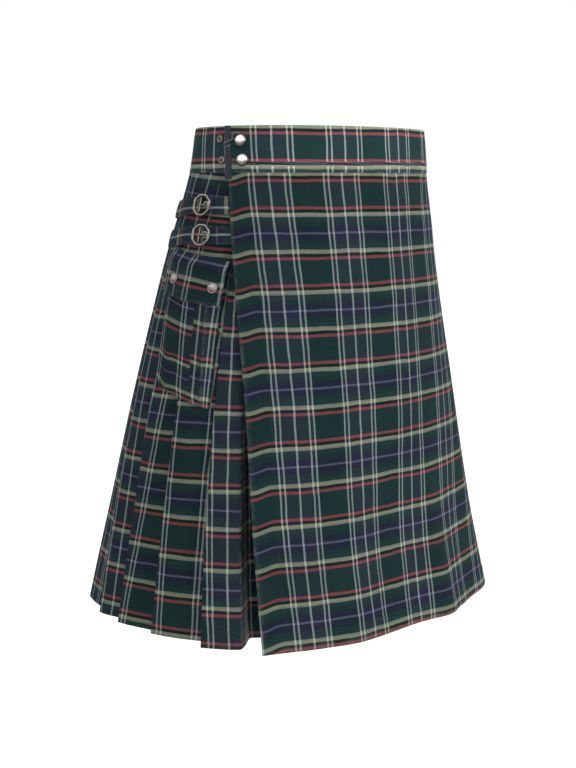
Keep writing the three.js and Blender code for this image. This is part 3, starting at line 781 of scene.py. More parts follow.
def metal_material(name, setting, grime_and_rim_shade, amount, smooth, rough, relief, rim):
    """Metal with spots of grime, and with its rim painted darker in the grime colour, to the share rim,
    where the mesh's wear attribute holds it: painted shade.
    """
    net, shader = new_material(name)
    tint, grime_and_rim_shade = linear(getattr(bpy.context.scene.kilt_trim, setting)), linear(grime_and_rim_shade)
    tarnish = placed(net, "Tarnish", Color=tint, Grime=grime_and_rim_shade, Amount=amount, Smooth=smooth, Rough=rough)
    wear_and_shade_mask = net.node("ShaderNodeAttribute", attribute_name="wear_and_rim_shade").outputs["Fac"]
    # painted shade: the rim is darkened towards the grime colour
    held = net.math("MULTIPLY", wear_and_shade_mask, rim, clamp=True)
    net.join(net.mix(held, tarnish.outputs["Color"], grime_and_rim_shade), shader.inputs["Base Color"])
    net.join(tarnish.outputs["Roughness"], shader.inputs["Roughness"])
    shader.inputs["Metallic"].default_value = 1.0
    net.bump(tarnish.outputs["Height"], 0.5, relief, shader)


# ---- pleats ----
PLEATS = 16
# shares of the half girth: the first fold, one pleat, how far a fold wanders, and the seam that
# the apron hides; DRIFT_TURN sets how the wandering changes from fold to fold
FIRST_FOLD, FOLD_PITCH, FOLD_DRIFT, HIDDEN_SEAM = 0.383, 0.0755, 0.012, 0.25
DRIFT_TURN = 2.04
# half of one layer, how far a layer lies over the next at the top, and what that gains by the hem
HALF_LAYER, LAYER_STEP, STEP_GAIN = 0.6, 1.6, 1.2
# piece, and its first and last pleat
PANELS = (("pleats_right", 0, 4), ("pleats_back", 5, 10), ("pleats_left", 11, 15))
# for each pleat: depth of its hem, depth of its lavender line, how far it lifts, and how it sways
HEM_DEPTHS = (
    604.5, 601, 601.5, 600.5, 601.5, 602.5, 603.5, 603, 604, 603.5, 604.5, 604, 605, 604.5, 605.5, 606,
)
WEFT_SHIFTS = (84, 75.8, 70.5, 62.5, 58.5, 55.5, 53.5, 52, 51, 50, 48.5, 47, 45, 43, 41, 38)
LIFTS = (1.15, 0.9, 1.0, 1.25, 0.85, 1.1, 0.95, 1.2, 0.8, 1.05, 1.25, 0.9, 1.1, 0.85, 1.2, 0.9)
SWAYS = (0.2, -0.8, 0.6, 1.2, -1.0, 0.8, -0.6, 1.1, -1.2, 0.5, 0.9, -0.7, 1.0, -0.9, 0.6, -0.4)

# on each of the first faces, a place in the sett and the (depth, along) points that it runs through
FIRST_LINES = (
    (
        0.0,
        (
            (190, 211.7),
            (280, 216),
            (332, 229),
            (374, 235),
            (413, 239),
            (459, 243),
            (509, 248.5),
            (561, 260),
            (601, 265),
        ),
    ),
    (21.3, ((388, 264), (426, 271), (467, 280.5), (509, 288), (551, 299), (599, 312))),
    (-21.3, ((363, 337), (405, 352), (432, 360), (461, 370), (501, 385), (528, 395), (557, 406))),
)


def fold_along(k, depth):
    """The line of a pleat's fold, which wanders a little on its way down."""
    drift = FOLD_DRIFT * math.cos(DRIFT_TURN * k) * (depth / LENGTH) ** 2
    sway = SWAYS[k] * np.sin(depth / 95.0 + 1.7 * k) * smoothstep(200, 420, depth)
    return (FIRST_FOLD + FOLD_PITCH * k - drift) * half_girth(depth) + sway


def pleat_step(depth):
    """How far one layer of a pleat lies over the next."""
    return LAYER_STEP + STEP_GAIN * smoothstep(60, LENGTH, depth)


def pleat_lap(depth):
    """How far a pleat's hidden folds reach back from its fold."""
    face = FOLD_PITCH * half_girth(depth)
    cloth = bpy.context.scene.kilt_cloth.pleat_cloth / MM
    return np.clip((cloth - face) / 2, 10, 0.74 * face)


def pleat_level(k, depth, layer):
    """Middle of one of a pleat's three layers: 2 is its face, and 0 is the innermost."""
    share = FIRST_FOLD + FOLD_PITCH * k
    return layer_out(share) - HALF_LAYER - (2 - layer) * pleat_step(depth)


def pleat_lift(k, depth):
    """How far a pleat's fold stands off."""
    lift = bpy.context.scene.kilt_cloth.fold_lift / MM
    return lift * LIFTS[k] * smoothstep(140, LENGTH, depth)


def pleat_sett(k, depth):
    """What is added to a place along a pleat's face to give its place in the sett."""
    if k < len(FIRST_LINES):
        line, places = FIRST_LINES[k]
        down, at = np.array(places).T
        near = max(k - 1, 0)
        fit = np.polyfit(down, at - fold_along(near, down), 1)
        return line - fold_along(near, depth) - np.polyval(fit, depth)
    cloth = bpy.context.scene.kilt_cloth.pleat_cloth / MM
    return 21.5 + cloth * (k - len(FIRST_LINES)) - fold_along(k, depth)


def weft_shift(k, along, depth):
    """Depth of the lavender line: one sloping line at the top, each pleat's own further down."""
    level = 83.5 - 0.07 * (along - 215)
    return level + (WEFT_SHIFTS[k] - level) * smoothstep(140, 330, depth)


def apron_gap(depth):
    """How far the gap beside the apron's free edge is open."""
    return 21.0 * np.clip((depth - 290) / (LENGTH - 290), 0, 1)


def apron_hollow(along, depth):
    """How far the layers under the apron's free edge sink away from it."""
    beside = along - section(APRON_REACH, depth)
    return 42.0 * smoothstep(270, 500, depth) * smoothstep(-90, -45, beside)


def pleat_start(k, depth):
    """Where a pleat's face begins beside the fold before it, and how far out it lies there."""
    if k == 0:
        return HIDDEN_SEAM * half_girth(depth) + 0.3, layer_out(HIDDEN_SEAM) - HALF_LAYER
    return fold_along(k - 1, depth) + 2, pleat_level(k - 1, depth, 0)


def face_out(k, along, start, fold, low, depth):
    """Middle of a pleat's face: it leaves the level below for its own, and lifts towards its fold."""
    t = np.clip((along - start) / (fold - pleat_lap(depth) - start), 0, 1)
    rise = smoothstep(-0.1, 1, t) if k else t
    part = np.clip((along - start) / (fold - start), 0, 1)
    return low + (pleat_level(k, depth, 2) - low) * rise + pleat_lift(k, depth) * part**1.6


def face_stations(k, start, fold, depth):
    """Places across a pleat's face and the share of the apron's hollow there. The first one is deep
    under the apron, then has a soft lip."""
    settle = fold - pleat_lap(depth)
    if k == 0:
        lip = np.minimum(section(APRON_REACH, depth) + apron_gap(depth), settle - 9)
        lip = np.maximum(lip, start + 14)
        last = np.maximum(settle, lip + 8)
        places = [start, (start + lip - 5) / 2, lip - 5, lip - 1.5, lip + 0.5, lip + 3.0, lip + 6.0]
        stations = list(zip(places + [(lip + 6 + last) / 2, last], (1, 1, 1, 0.93, 0.35, 0.04, 0, 0, 0)))
    else:
        last = settle
        stations = [(start + t * (settle - start), 0) for t in (0, 0.35, 0.7, 1.0)]
    return stations + [(last + t * (fold - last), 0) for t in (0.3, 0.62, 0.88)]


def pleat_paths(first, last, depth):
    """Control points (along, out, sett, weft shift, hem) of the folded cloth, one row per depth."""
    lap, step = pleat_lap(depth), pleat_step(depth)
    points = []

    def add(*values):
        points.append(stacked(*values))

    for k in range(first, last + 1):
        fold, lift = fold_along(k, depth), pleat_lift(k, depth)
        face, middle, bottom = (pleat_level(k, depth, layer) for layer in (2, 1, 0))
        offset, hem = pleat_sett(k, depth), HEM_DEPTHS[k]
        start, low = pleat_start(k, depth)
        if k and k == first:
            for beyond, under in ((-5, 1.6), (0, 1.6), (5, 0.6)):
                along = start - 2 - lap / 2 + beyond
                add(along, low - under, along + offset, weft_shift(k, along, depth), hem)
        for along, hollow in face_stations(k, start, fold, depth):
            out = face_out(k, along, start, fold, low, depth) - hollow * apron_hollow(along, depth)
            add(along, out, along + offset, weft_shift(k, along, depth), hem)
        turn = fold + offset
        shift = weft_shift(k, fold, depth)
        add(fold, face + lift, turn, shift, hem)
        add(fold, middle + 0.72 * lift, turn + step, shift, hem)
        follows = min(k + 1, PLEATS - 1)
        next_start = turn + 2 * lap + 2 * step + 2
        if k < last:
            wanted = fold + 2 + pleat_sett(follows, depth)
            gap = np.median(wanted - next_start)
            next_start = wanted - round(gap / SETT_WARP) * SETT_WARP
        next_shift, next_hem = weft_shift(follows, fold, depth), HEM_DEPTHS[follows]
        walk = (next_start - turn - step) / (2 * lap + step)
        # back under the face, and forward again beneath that
        for along, out, walked, share in (
            (fold - lap / 2, middle + 0.25 * lift, 0.5 * lap, 0.4),
            (fold - lap, middle, lap, 0.5),
            (fold - lap, bottom, lap + step, 0.5),
            (fold - lap / 2, bottom, 1.5 * lap + step, 1.0),
        ):
            mixed = (a * (1 - share) + b * share for a, b in ((shift, next_shift), (hem, next_hem)))
            add(along, out, turn + step + walk * walked, *mixed)
    return np.stack(points, 1)


def pleat_face(along, depth):
    """The outer face of the pleats near one place, with its lift."""
    along, depth = np.broadcast_arrays(np.asarray(along, float), np.asarray(depth, float))
    best = layer_out(along / half_girth(depth))
    for k in range(1, 8):
        (start, low), fold = pleat_start(k, depth), fold_along(k, depth)
        face = face_out(k, along, start, fold, low, depth) + HALF_LAYER
        best = np.where((along >= start - 2) & (along <= fold + 0.5), face, best)
    return best


def cloth_rows(count):
    """Depths of the rows of a hanging cloth, closer together at its edges."""
    rows = np.linspace(CLOTH_TOP, LENGTH, count)
    return np.sort(np.concatenate([rows, [LENGTH - 1.2, LENGTH - 3, CLOTH_TOP + 1.2]]))


def hung_to(hem, depth):
    """Depths of a hanging cloth whose lowest row comes to a hem of its own."""
    return CLOTH_TOP + (depth - CLOTH_TOP) * (hem - CLOTH_TOP) / (LENGTH - CLOTH_TOP)


def behind_band(face, depth):
    """How far the top edge runs up behind the waistband where its outer face is sunk."""
    rise = np.interp(face[:1], (-2.9, -2.7, -2.4, -1.9, -1.3, -1.2), (4.8, 2.3, 1.4, 0.7, 0.3, 0.0))
    return rise * (1 - smoothstep(CLOTH_TOP, 80, depth))


def build_pleats():
    """The three lengths of pleated cloth, and the stitches above their hem."""
    wall = bpy.context.scene.kilt_cloth.wall / MM - 0.15  # a little thinner, so that the layers clear
    rows = cloth_rows(78)
    made = []
    for name, first, last in PANELS:
        path = rounded(pleat_paths(first, last, rows))
        along, out, sett, shift, hem = (path[..., i] for i in range(5))
        depth = hung_to(hem, rows[:, None])
        under = layer_out(along / half_girth(rows[:, None]))
        depth = depth - behind_band(out + 0.53 - under, depth)
        slope = np.abs(np.gradient(out, axis=1)) / np.maximum(np.abs(np.gradient(along, axis=1)), 0.05)
        wear_and_rim_shade = np.clip(slope - 0.8, 0, 1) * smoothstep(80, 200, depth)
        wear_and_rim_shade = np.maximum(wear_and_rim_shade, smoothstep(LENGTH - 12, LENGTH - 3, depth) * 0.7)
        grid, uv = stacked(along, depth, out), stacked(-sett, depth - shift)
        made.append(add_cloth(name + "_cloth", grid, wall, uv, (name,), wear_and_rim_shade))
    level = LENGTH - HEM_FOLD
    lines = []
    for k in range(PLEATS):
        start, fold = pleat_start(k, level)[0], fold_along(k, level)
        shown = start + 2 if k else section(APRON_REACH, level) + apron_gap(level) + 8
        along = np.linspace(shown, fold - 2.5, 24)
        depth = np.full(24, HEM_DEPTHS[k] - HEM_FOLD)
        low = pleat_start(k, depth)[1]
        lines.append(stacked(along, depth, face_out(k, along, start, fold, low, depth) + 0.75))
    add_stitches("pleat_hem_stitches", lines)
    return made


# ---- aprons ----
# depth, place of one pale line, and how close the lines stand, down the outer apron
APRON_LINES = np.array(
    [
        (55, -158, 1.0),
        (70, -158, 1.0),
        (130, -154, 1.0),
        (200, -151, 1.0),
        (330, -152, 0.985),
        (440, -155, 0.965),
        (550, -160, 0.945),
        (608, -163, 0.94),
    ]
)
FACING_WIDTH, FACING_STITCHES = 31.0, 29.0


def apron_sett(place_from_front, depth):
    """Place in the sett of a place on the outer apron."""
    at, scale = (np.interp(depth, APRON_LINES[:, 0], APRON_LINES[:, i]) for i in (1, 2))
    return (place_from_front - at) / scale


def apron_edge(depth):
    """The outer apron's free edge, along running on past the whole girth."""
    return 2 * half_girth(depth) + section(APRON_REACH, depth)


def edge_lift(distance, depth):
    """How far the outer apron stands off near its free edge."""
    curl = bpy.context.scene.kilt_cloth.edge_curl / MM
    amount = 0.8 + (curl - 0.8) * smoothstep(150, LENGTH, depth)
    return amount * np.clip(1 - distance / 48, 0, 1) ** 2


def apron_out(along, depth):
    """Middle of the outer apron, along running on past the whole girth."""
    last = PLEATS - 1
    low = pleat_level(last, depth, 0) - 0.4
    leave = fold_along(last, depth) + 3
    rise = smoothstep(0, 1, (along - leave) / (0.11 * half_girth(depth)))
    return low + (-0.75 - low) * rise + edge_lift(apron_edge(depth) - along, depth)


def build_aprons():
    """The outer and the under apron, with the stitches of the facing and the hem."""
    wall = bpy.context.scene.kilt_cloth.wall / MM
    depth = cloth_rows(96)[:, None]
    girth = half_girth(depth)
    start, edge = fold_along(PLEATS - 1, depth) - 10, apron_edge(depth)
    t = np.sort(np.concatenate([np.linspace(0, 1, 190)[:-1], 1 - np.array([0.0035, 0.0015, 0])]))
    along = start + (edge - start) * t
    from_edge = edge - along
    out = apron_out(along, depth)
    down = hung_to(LENGTH - 1.5 * smoothstep(0.2, 0.5, from_edge / girth), depth)
    down = down - behind_band(out + HALF_LAYER, down)
    droop = 5.5 * (1 - smoothstep(0, 26, from_edge))
    weft = down - droop - 125.5 + 2.5 * smoothstep(500, LENGTH, down)
    facing = 1 - smoothstep(FACING_WIDTH - 1, FACING_WIDTH + 1, from_edge)
    turned_up = smoothstep(LENGTH - HEM_FOLD - 1, LENGTH - HEM_FOLD + 0.5, depth)
    wear_and_rim_shade = np.maximum(1 - smoothstep(0, 5, from_edge), smoothstep(LENGTH - 10, LENGTH - 2, down) * 0.8)
    outer = add_cloth(
        "apron_outer_cloth",
        stacked(along, down, out),
        wall + 0.5 * np.maximum(facing, turned_up),
        stacked(apron_sett(2 * girth - along, depth), weft),
        ("apron_outer",),
        wear_and_rim_shade,
    )

    along = np.linspace(0, 1, 110) * ((HIDDEN_SEAM + UNDER_END) * girth) - UNDER_END * girth
    out = UNDER_LAYER - 0.75 - apron_hollow(along, depth)
    grid = stacked(along, depth - 3 * smoothstep(300, LENGTH, depth), out)
    under = add_cloth("apron_under_cloth", grid, wall, stacked(-along - 10, depth - 80), ("apron_under",))

    rows = np.linspace(BAND_HEIGHT + 4, LENGTH - 22, 260)
    level = LENGTH - HEM_FOLD
    hem = np.linspace(fold_along(PLEATS - 1, level) + 8, apron_edge(level) - 4, 400)
    runs = ((apron_edge(rows) - FACING_STITCHES, rows), (hem, level))
    add_stitches("apron_stitches", [stacked(a, d, apron_out(a, d) + wall / 2 + 0.2) for a, d in runs])
    return outer, under


# ---- waistband ----
BAND_END = 211.0
BAND_SEAMS = (4.2, 50.8)
# depth and thickness down the waistband, with a groove at each row of stitches
BAND_PROFILE = (
    (0.05, 0.5), (0.5, 1.7), (1.3, 2.7), (2.6, 3.2), (3.6, 3.0), (4.2, 2.75), (4.9, 3.05), (7.5, 3.5),
    (13, 3.75), (20, 3.85), (27.5, 3.9), (35, 3.85), (42, 3.75), (47.5, 3.5), (50.1, 3.05), (50.8, 2.75),
    (51.4, 3.0), (52.4, 3.2), (53.7, 2.7), (54.5, 1.7), (54.95, 0.5),
)
# (along, out) round the waistband's turned end, from inside to outside
BAND_TURN = (
    (205.5, -3.1), (209.5, -3.0), (211.6, -2.2), (212.4, -0.9), (211.9, 0.7), (210.4, 1.35), (207.5, 1.45),
    (205, 1.42), (203.2, 1.3),
)


def band_out(along, girth):
    """The waistband's outer face, before its waves."""
    return layer_out(along / girth) + 0.8


def band_wave(along, depth):
    """How far the waistband waves in and out on its way round."""
    return 0.35 * np.sin(along / 31.0) * np.sin(np.pi * depth / BAND_HEIGHT)


def build_waistband():
    """The waistband and its two rows of stitches."""
    depth, wall = np.array(BAND_PROFILE).T[..., None]
    girth = half_girth(depth)
    start, end = 0.2 - UNDER_END * girth, 2 * girth + BAND_END
    along = start + (end - start) * np.linspace(0, 1, 330)
    out = band_out(along, girth) - 1.7 + band_wave(along, depth)
    # the sett is stretched round the back so that its lines come right at both ends
    right_end, left_end = 233.0, 152.5 + 2 * girth
    gap = (left_end - right_end + SETT_WARP / 2) % SETT_WARP - SETT_WARP / 2
    sett = right_end + gap * smoothstep(300, 760, along) - along
    middle = 22.9 + 1.6 * smoothstep(500, 800, along)
    uv = stacked(sett, depth - middle + SETT_WEFT / 2 + 0.7 * np.sin(along / 60.0))
    wear_and_rim_shade = np.maximum(1 - smoothstep(0.5, 3, depth), smoothstep(52, 54.5, depth)) * 0.9
    from_end = np.minimum(along - start, end - along)
    wall = wall * (0.35 + 0.65 * np.sqrt(np.clip(from_end / 1.6, 0, 1)))
    nodes = ("waistband_under", "waistband_back", "waistband_outer")
    grid, slot = stacked(along, depth, out), "waistband_cloth"
    band = add_cloth("waistband_cloth", grid, wall, uv, nodes, wear_and_rim_shade, "Waistband cloth", slot)

    lines = []
    for row in BAND_SEAMS:
        girth = half_girth(row)
        along = np.linspace(4 - UNDER_END * girth, 2 * girth + BAND_END - 12, 1400)
        lines.append(stacked(along, row, band_out(along, girth) + band_wave(along, row) - 0.3))
    add_stitches("waistband_stitches", lines, slot)
    return band


def build_band_end():
    """The waistband's turned end: a narrow dark strip round its edge."""
    stitched, slot = 205.0, "waistband_cloth"
    depth = np.concatenate([[0.1, 0.8], np.linspace(2, 60, 30), [61.2, 61.9]])[:, None]
    path = rounded(np.broadcast_to(BAND_TURN, (len(depth),) + np.shape(BAND_TURN)))
    below = smoothstep(54.5, 57, depth)
    out = path[..., 1] * (1 - below) + below * np.clip(path[..., 1] * 0.55 + 0.35, -1.0, 1.2)
    out = out - 0.35 * bulge((path[..., 0] - stitched) / 0.7)
    along = path[..., 0] + 0.25 * np.sin(depth / 9.0)
    grid, uv = stacked(along, depth, out), stacked(along, depth)
    add_cloth("waistband_end_turn", grid, 0.9, uv, material="Dark binding", slot=slot)
    rows = np.linspace(2, 60, 60)
    line = stacked(stitched, rows, 1.45 - 0.4 * smoothstep(54.5, 57, rows))
    add_stitches("waistband_end_stitches", [line], slot)


# ---- cargo pocket ----
# depths, half widths, how far it stands out at its top and bottom, the share of that at its rear
# edge, and how far its front edge hangs below its middle
POCKET_TOP, POCKET_BOTTOM = 166.0, 326.0
POCKET_FOOT, POCKET_HALF_TOP, POCKET_HALF_BOTTOM = 43.0, 30.0, 34.0
PROUD_TOP, PROUD_BOTTOM, REAR_SHARE, POCKET_WALL = 15.0, 5.0, 0.3, 1.5
TILT_TOP, TILT_BOTTOM = 6.8, 11.4
FLAP_TOP, FLAP_BOTTOM, FLAP_HALF, FLAP_DIP, FLAP_WALL = 152.0, 201.3, 47.0, 3.0, 2.2
GUSSET = 16.0
# places across the bag's front, from its front edge to its rear one, close together at the tuck
BAG_COLUMNS = (
    -0.93, -0.76, -0.62, -0.51, -0.495, -0.475, -0.46, -0.3, -0.14, 0, 0.16, 0.31, 0.47, 0.62, 0.78, 0.93,
)
TUCK = -0.485


def pocket_centre(depth):
    """The pocket's middle line, which leans a little to the front."""
    return (0.473 - 0.014 * (depth - 150) / 175) * half_girth(depth)


def pocket_part(depth):
    """Share of the way down the bag."""
    return np.clip((depth - POCKET_TOP) / (POCKET_BOTTOM - POCKET_TOP), 0, 1)


def pocket_half(depth):
    """Half the width of the bag's front."""
    return POCKET_HALF_TOP + (POCKET_HALF_BOTTOM - POCKET_HALF_TOP) * pocket_part(depth)


def pocket_stands(depth, across):
    """How far the bag stands out: most at its front edge, and little at its rear one."""
    fall = PROUD_TOP + (PROUD_BOTTOM - PROUD_TOP) * pocket_part(depth) ** 0.8
    pinch = 0.55 + 0.45 * smoothstep(POCKET_TOP, POCKET_TOP + 45, depth)
    proud = fall * pinch * np.sqrt(np.clip((POCKET_BOTTOM - depth) / 10, 0, 1))
    return proud * (1 + (REAR_SHARE - 1) * (1 + across) / 2)


def pocket_tuck(across, depth):
    """One in front of the tuck that runs down near the bag's front edge."""
    return (across < TUCK) * (1 - smoothstep(285, 318, depth))


def pocket_base(depth):
    """The cloth under the pocket's middle line."""
    return layer_out(pocket_centre(depth) / half_girth(depth)) + 0.3


def pocket_tilt(depth, across):
    """How far a place on the pocket hangs lower than at its middle: its front edge is the lower."""
    return -across * (TILT_TOP + (TILT_BOTTOM - TILT_TOP) * pocket_part(depth))


def tilted(along, depth, out):
    """Garment coordinates of a place on the bag, whose rear edge hangs higher than its front."""
    centre = pocket_centre(depth)
    across = (along - centre) / POCKET_FOOT
    raised = smoothstep(250, POCKET_BOTTOM, depth) * (6.5 + 8.0 * smoothstep(0.5, 1.1, across))
    down = depth + pocket_tilt(depth, across) - raised
    return stacked(along - centre + pocket_centre(down), down, out)


def pocket_seat(along, depth):
    """Just clear of the pleats round a place."""
    seat = -99.0
    for step in (-5, -2.5, 0, 2.5, 5):
        for drop in (-8, 0, 8):
            seat = np.maximum(seat, pleat_face(along + step, depth + drop))
    return seat + 0.3


def flap_depth(part, across):
    """Depth on the flap at a share of its height, with its dipped lower edge."""
    bottom = FLAP_BOTTOM + FLAP_DIP * (1 - across * across)
    return FLAP_TOP + (bottom - FLAP_TOP) * part + pocket_tilt(FLAP_TOP, across)


def pouch(stands, across):
    """How full the bag is between its edges."""
    return (1 + stands / 12) * (1 - across**2)


def flap_out(along, across, depth):
    """Inner face of the flap: on the cloth at its seam, and over the bag further down."""
    level = depth - pocket_tilt(FLAP_TOP, across)
    stands = pocket_stands(np.maximum(level, POCKET_TOP), across * 1.1)
    on_bag = pocket_base(depth) + POCKET_WALL + stands + pouch(stands, across * 0.9) + 0.9
    on_cloth = np.maximum(layer_out(along / half_girth(depth)), pleat_face(along, depth)) + 0.3
    lift = smoothstep(FLAP_TOP - 2, POCKET_TOP - 1, level)
    return on_cloth + (np.maximum(on_cloth, on_bag) - on_cloth) * lift


def bag_path(depth):
    """Control points (along, out, place in the cloth) across the bag, one row per depth."""
    centre, front, base = pocket_centre(depth), pocket_half(depth), pocket_base(depth) + POCKET_WALL / 2
    sagging = 0.5 * smoothstep(170, 230, depth) * (1 - smoothstep(300, 322, depth))

    def panel(across):
        stands = pocket_stands(depth, across)
        sag = sagging * np.cos(across * 4.2 + depth / 37.0) * (abs(across) < 1)
        tuck = 0.9 * pocket_tuck(across, depth) * (across > -0.9)
        return centre + across * front, base + stands + pouch(stands, across) + sag - tuck

    def gusset(side):
        foot_at = centre + side * POCKET_FOOT
        foot = pocket_seat(foot_at, depth) + POCKET_WALL / 2
        edge_at, edge = panel(side)
        rise = np.maximum(edge - foot, 0.2)
        half = [(foot_at, foot, front + GUSSET + 2), (foot_at - 2 * side, foot + 0.1, front + GUSSET)]
        for t, pull in ((0.35, 1.4), (0.7, 1.6)):
            along = foot_at - 2 * side + (edge_at - foot_at + 2 * side) * t - side * pull
            half.append((along, foot + rise * t, front + GUSSET * (1 - t)))
        half.append((edge_at + 0.4 * side, edge - 0.9, front + 1))
        half.append((edge_at - 0.8 * side, edge + 0.45, front - 0.8))
        return half

    control = [(along, out, -sett) for along, out, sett in gusset(-1)]
    control += [(*panel(across), across * front) for across in BAG_COLUMNS]
    control += reversed(gusset(1))
    path = np.stack([stacked(*point) for point in control], 1)
    place_at = tilted(path[..., 0], depth[:, None], path[..., 1])
    seat = pleat_face(place_at[..., 0], place_at[..., 1]) + 0.3 + POCKET_WALL / 2
    path[..., 1] = np.maximum(path[..., 1], seat)
    return rounded(path)


def build_bag():
    """The pocket's bellows bag, and the stitches along its edges."""
    middle, foot = np.linspace(168, 314, 48), np.linspace(315.5, 325, 10)
    depth = np.concatenate([[POCKET_TOP, 166.6], middle, foot, [325.6, POCKET_BOTTOM]])
    along, out, sett = np.moveaxis(bag_path(depth), -1, 0)
    depth = depth[:, None]
    front = pocket_half(depth)
    across = sett / front
    weft = depth + 9.0 * smoothstep(265, POCKET_BOTTOM, depth) - 212.0 + 8.0 * pocket_tuck(across, depth)
    weft = weft - 5.0 * smoothstep(0.1, 0.9, across) * smoothstep(210, 300, depth)
    wear_and_rim_shade = np.clip(bulge((np.abs(sett) - front) / 1.5) + smoothstep(320, 325, depth), 0, 1)
    grid, uv = tilted(along, depth, out), stacked(-sett - 23.0, weft)
    bag = add_cloth("pocket_bag_cloth", grid, POCKET_WALL, uv, ("pocket_bag",), wear_and_rim_shade)

    rows = np.linspace(174, 318, 110)
    half, base = pocket_half(rows), pocket_base(rows) + POCKET_WALL
    lines = []
    for side in (-1, 1):
        across = side * (1 - 3.0 / half)
        stands = pocket_stands(rows, across)
        out = base + stands + pouch(stands, across) + 0.1
        lines.append(tilted(pocket_centre(rows) + across * half, rows, out))
        foot = pocket_centre(rows) + side * (POCKET_FOOT - 1.2)
        lines.append(tilted(foot, rows, pocket_seat(foot, rows) + POCKET_WALL + 0.1))
    add_stitches("pocket_bag_stitches", lines)
    return bag


FLAP_SEAMS = (2.6, 8.0)


def flap_grid(part, across, lift):
    """Garment coordinates on the flap, a little uneven towards its lower edge."""
    down = flap_depth(part, across)
    along = pocket_centre(down) + across * FLAP_HALF
    bend = 0.55 * np.sin(across * 5.0 + 0.8) * part
    return stacked(along, down, flap_out(along, across, down) + bend + lift)


def build_flap():
    """The pocket's flap, with its two sunk rows of stitches."""
    part = np.concatenate([[0, 0.012], np.linspace(0.03, 0.97, 40), [0.988, 1]])[:, None]
    across = np.concatenate([[-1, -0.99], np.linspace(-0.97, 0.97, 56), [0.99, 1]])
    height = FLAP_BOTTOM - FLAP_TOP
    grid = flap_grid(part, across, FLAP_WALL / 2)
    to_side, to_bottom = np.broadcast_arrays((1 - np.abs(across)) * FLAP_HALF, (1 - part) * height)
    groove = 0
    for inset in FLAP_SEAMS:
        for away in (to_side, to_bottom):
            groove = np.maximum(groove, bulge((away - inset) / 0.8))
    level = grid[..., 1] - pocket_tilt(FLAP_TOP, across)
    uv = stacked(21.0 - across * FLAP_HALF, level - 157.5)
    wear_and_rim_shade = 1 - smoothstep(0, 2.5, np.minimum(to_side, to_bottom))
    flap = add_cloth("pocket_flap_cloth", grid, FLAP_WALL - 0.5 * groove, uv, ("pocket_flap",), wear_and_rim_shade)

    lines = []
    for inset in FLAP_SEAMS:
        side, low = 1 - inset / FLAP_HALF, 1 - inset / height
        down, across = np.linspace(0.06, low, 40), np.linspace(-side, side, 70)[1:-1]
        part = np.concatenate([down, np.full(len(across), low), down[::-1]])
        across = np.concatenate([np.full(len(down), -side), across, np.full(len(down), side)])
        lines.append(flap_grid(part, across, FLAP_WALL - 0.2))
    add_stitches("pocket_flap_stitches", lines)
    return flap


# ---- straps ----
# name, depth of the middle line, and place of the buckle along it
STRAPS = (("upper", 93.0, 246.0), ("lower", 128.0, 247.0))
STRAP_HALF, STRAP_WALL, STRAP_CLEAR, STRAP_SEAM = 10.0, 1.4, 0.4, 2.2
TONGUE_FROM, TONGUE_TO, TAB_FROM, TAB_TO = 190.0, 330.0, 226.0, 344.0
# the strap's cloth is cut across the weft: place of a lavender line, and depth of a pale one
STRAP_SETTS = {"upper": (234.5, 96.0), "lower": (226.0, 127.5)}
TAB_SHIFT = 40  # how much further along the sett the tab is cut


def strap_out(along, depth):
    """Middle of a strap that lies on the cloth."""
    return layer_out(along / half_girth(depth)) + STRAP_CLEAR + STRAP_WALL / 2


def strap_droop(along):
    """How far a strap sinks on its way to the back."""
    return 7.0 * smoothstep(258, 338, along)


def tongue_lift(along):
    """How far the tongue rises to lie over the tab."""
    return (STRAP_WALL + STRAP_CLEAR) * smoothstep(TAB_FROM - 17, TAB_FROM - 3, along)


def build_straps():
    """A tongue and a tab for each hip strap, with stitches along both sides."""
    made, lines = [], []
    across = np.concatenate([[-1, -0.96], np.linspace(-0.88, 0.88, 14), [0.96, 1]])[:, None]
    from_side = (1 - np.abs(across)) * STRAP_HALF
    wall = STRAP_WALL - 0.35 * bulge((from_side - STRAP_SEAM) / 0.7)
    wear_and_rim_shade = 1 - smoothstep(0, 1.2, from_side)
    t = np.concatenate([np.linspace(0, 0.985, 80), [0.993, 1.0]])
    tip = TONGUE_TO - 7 * np.abs(across) ** 3
    for name, middle, _ in STRAPS:
        depth = middle + across * STRAP_HALF
        line, pale = STRAP_SETTS[name]
        for kind, start, end, lifted, shift in (
            ("tongue", TONGUE_FROM, tip, tongue_lift, 0),
            ("tab", TAB_FROM, TAB_TO, np.zeros_like, TAB_SHIFT),
        ):
            along = start + (end - start) * t
            out = strap_out(along, depth) + lifted(along) + 0.25 * (1 - across**2)
            grid = stacked(along, depth + strap_droop(along), out)
            uv = stacked(depth - pale, along - line + shift)
            piece = f"strap_{kind}_{name}"
            made.append(add_cloth(piece + "_cloth", grid, wall, uv, (piece,), wear_and_rim_shade))
            for side in (-1, 1):
                along = np.linspace(start + 2, np.min(end) - 3, 60)
                row = middle + side * (STRAP_HALF - STRAP_SEAM)
                out = strap_out(along, row) + lifted(along) + STRAP_WALL / 2 + 0.1
                lines.append(stacked(along, row + strap_droop(along), out))
    add_stitches("strap_stitches", lines, radius=0.24)
    return made


# ---- metal ----
BUCKLE_WIDTH, BUCKLE_HEIGHT, BUCKLE_BAR, BUCKLE_CORNER, BUCKLE_TIP = 24.8, 27.4, 3.5, 6.4, 10.0
EYELET_OFFSET, BAR_BACK = 4.2, 2.2

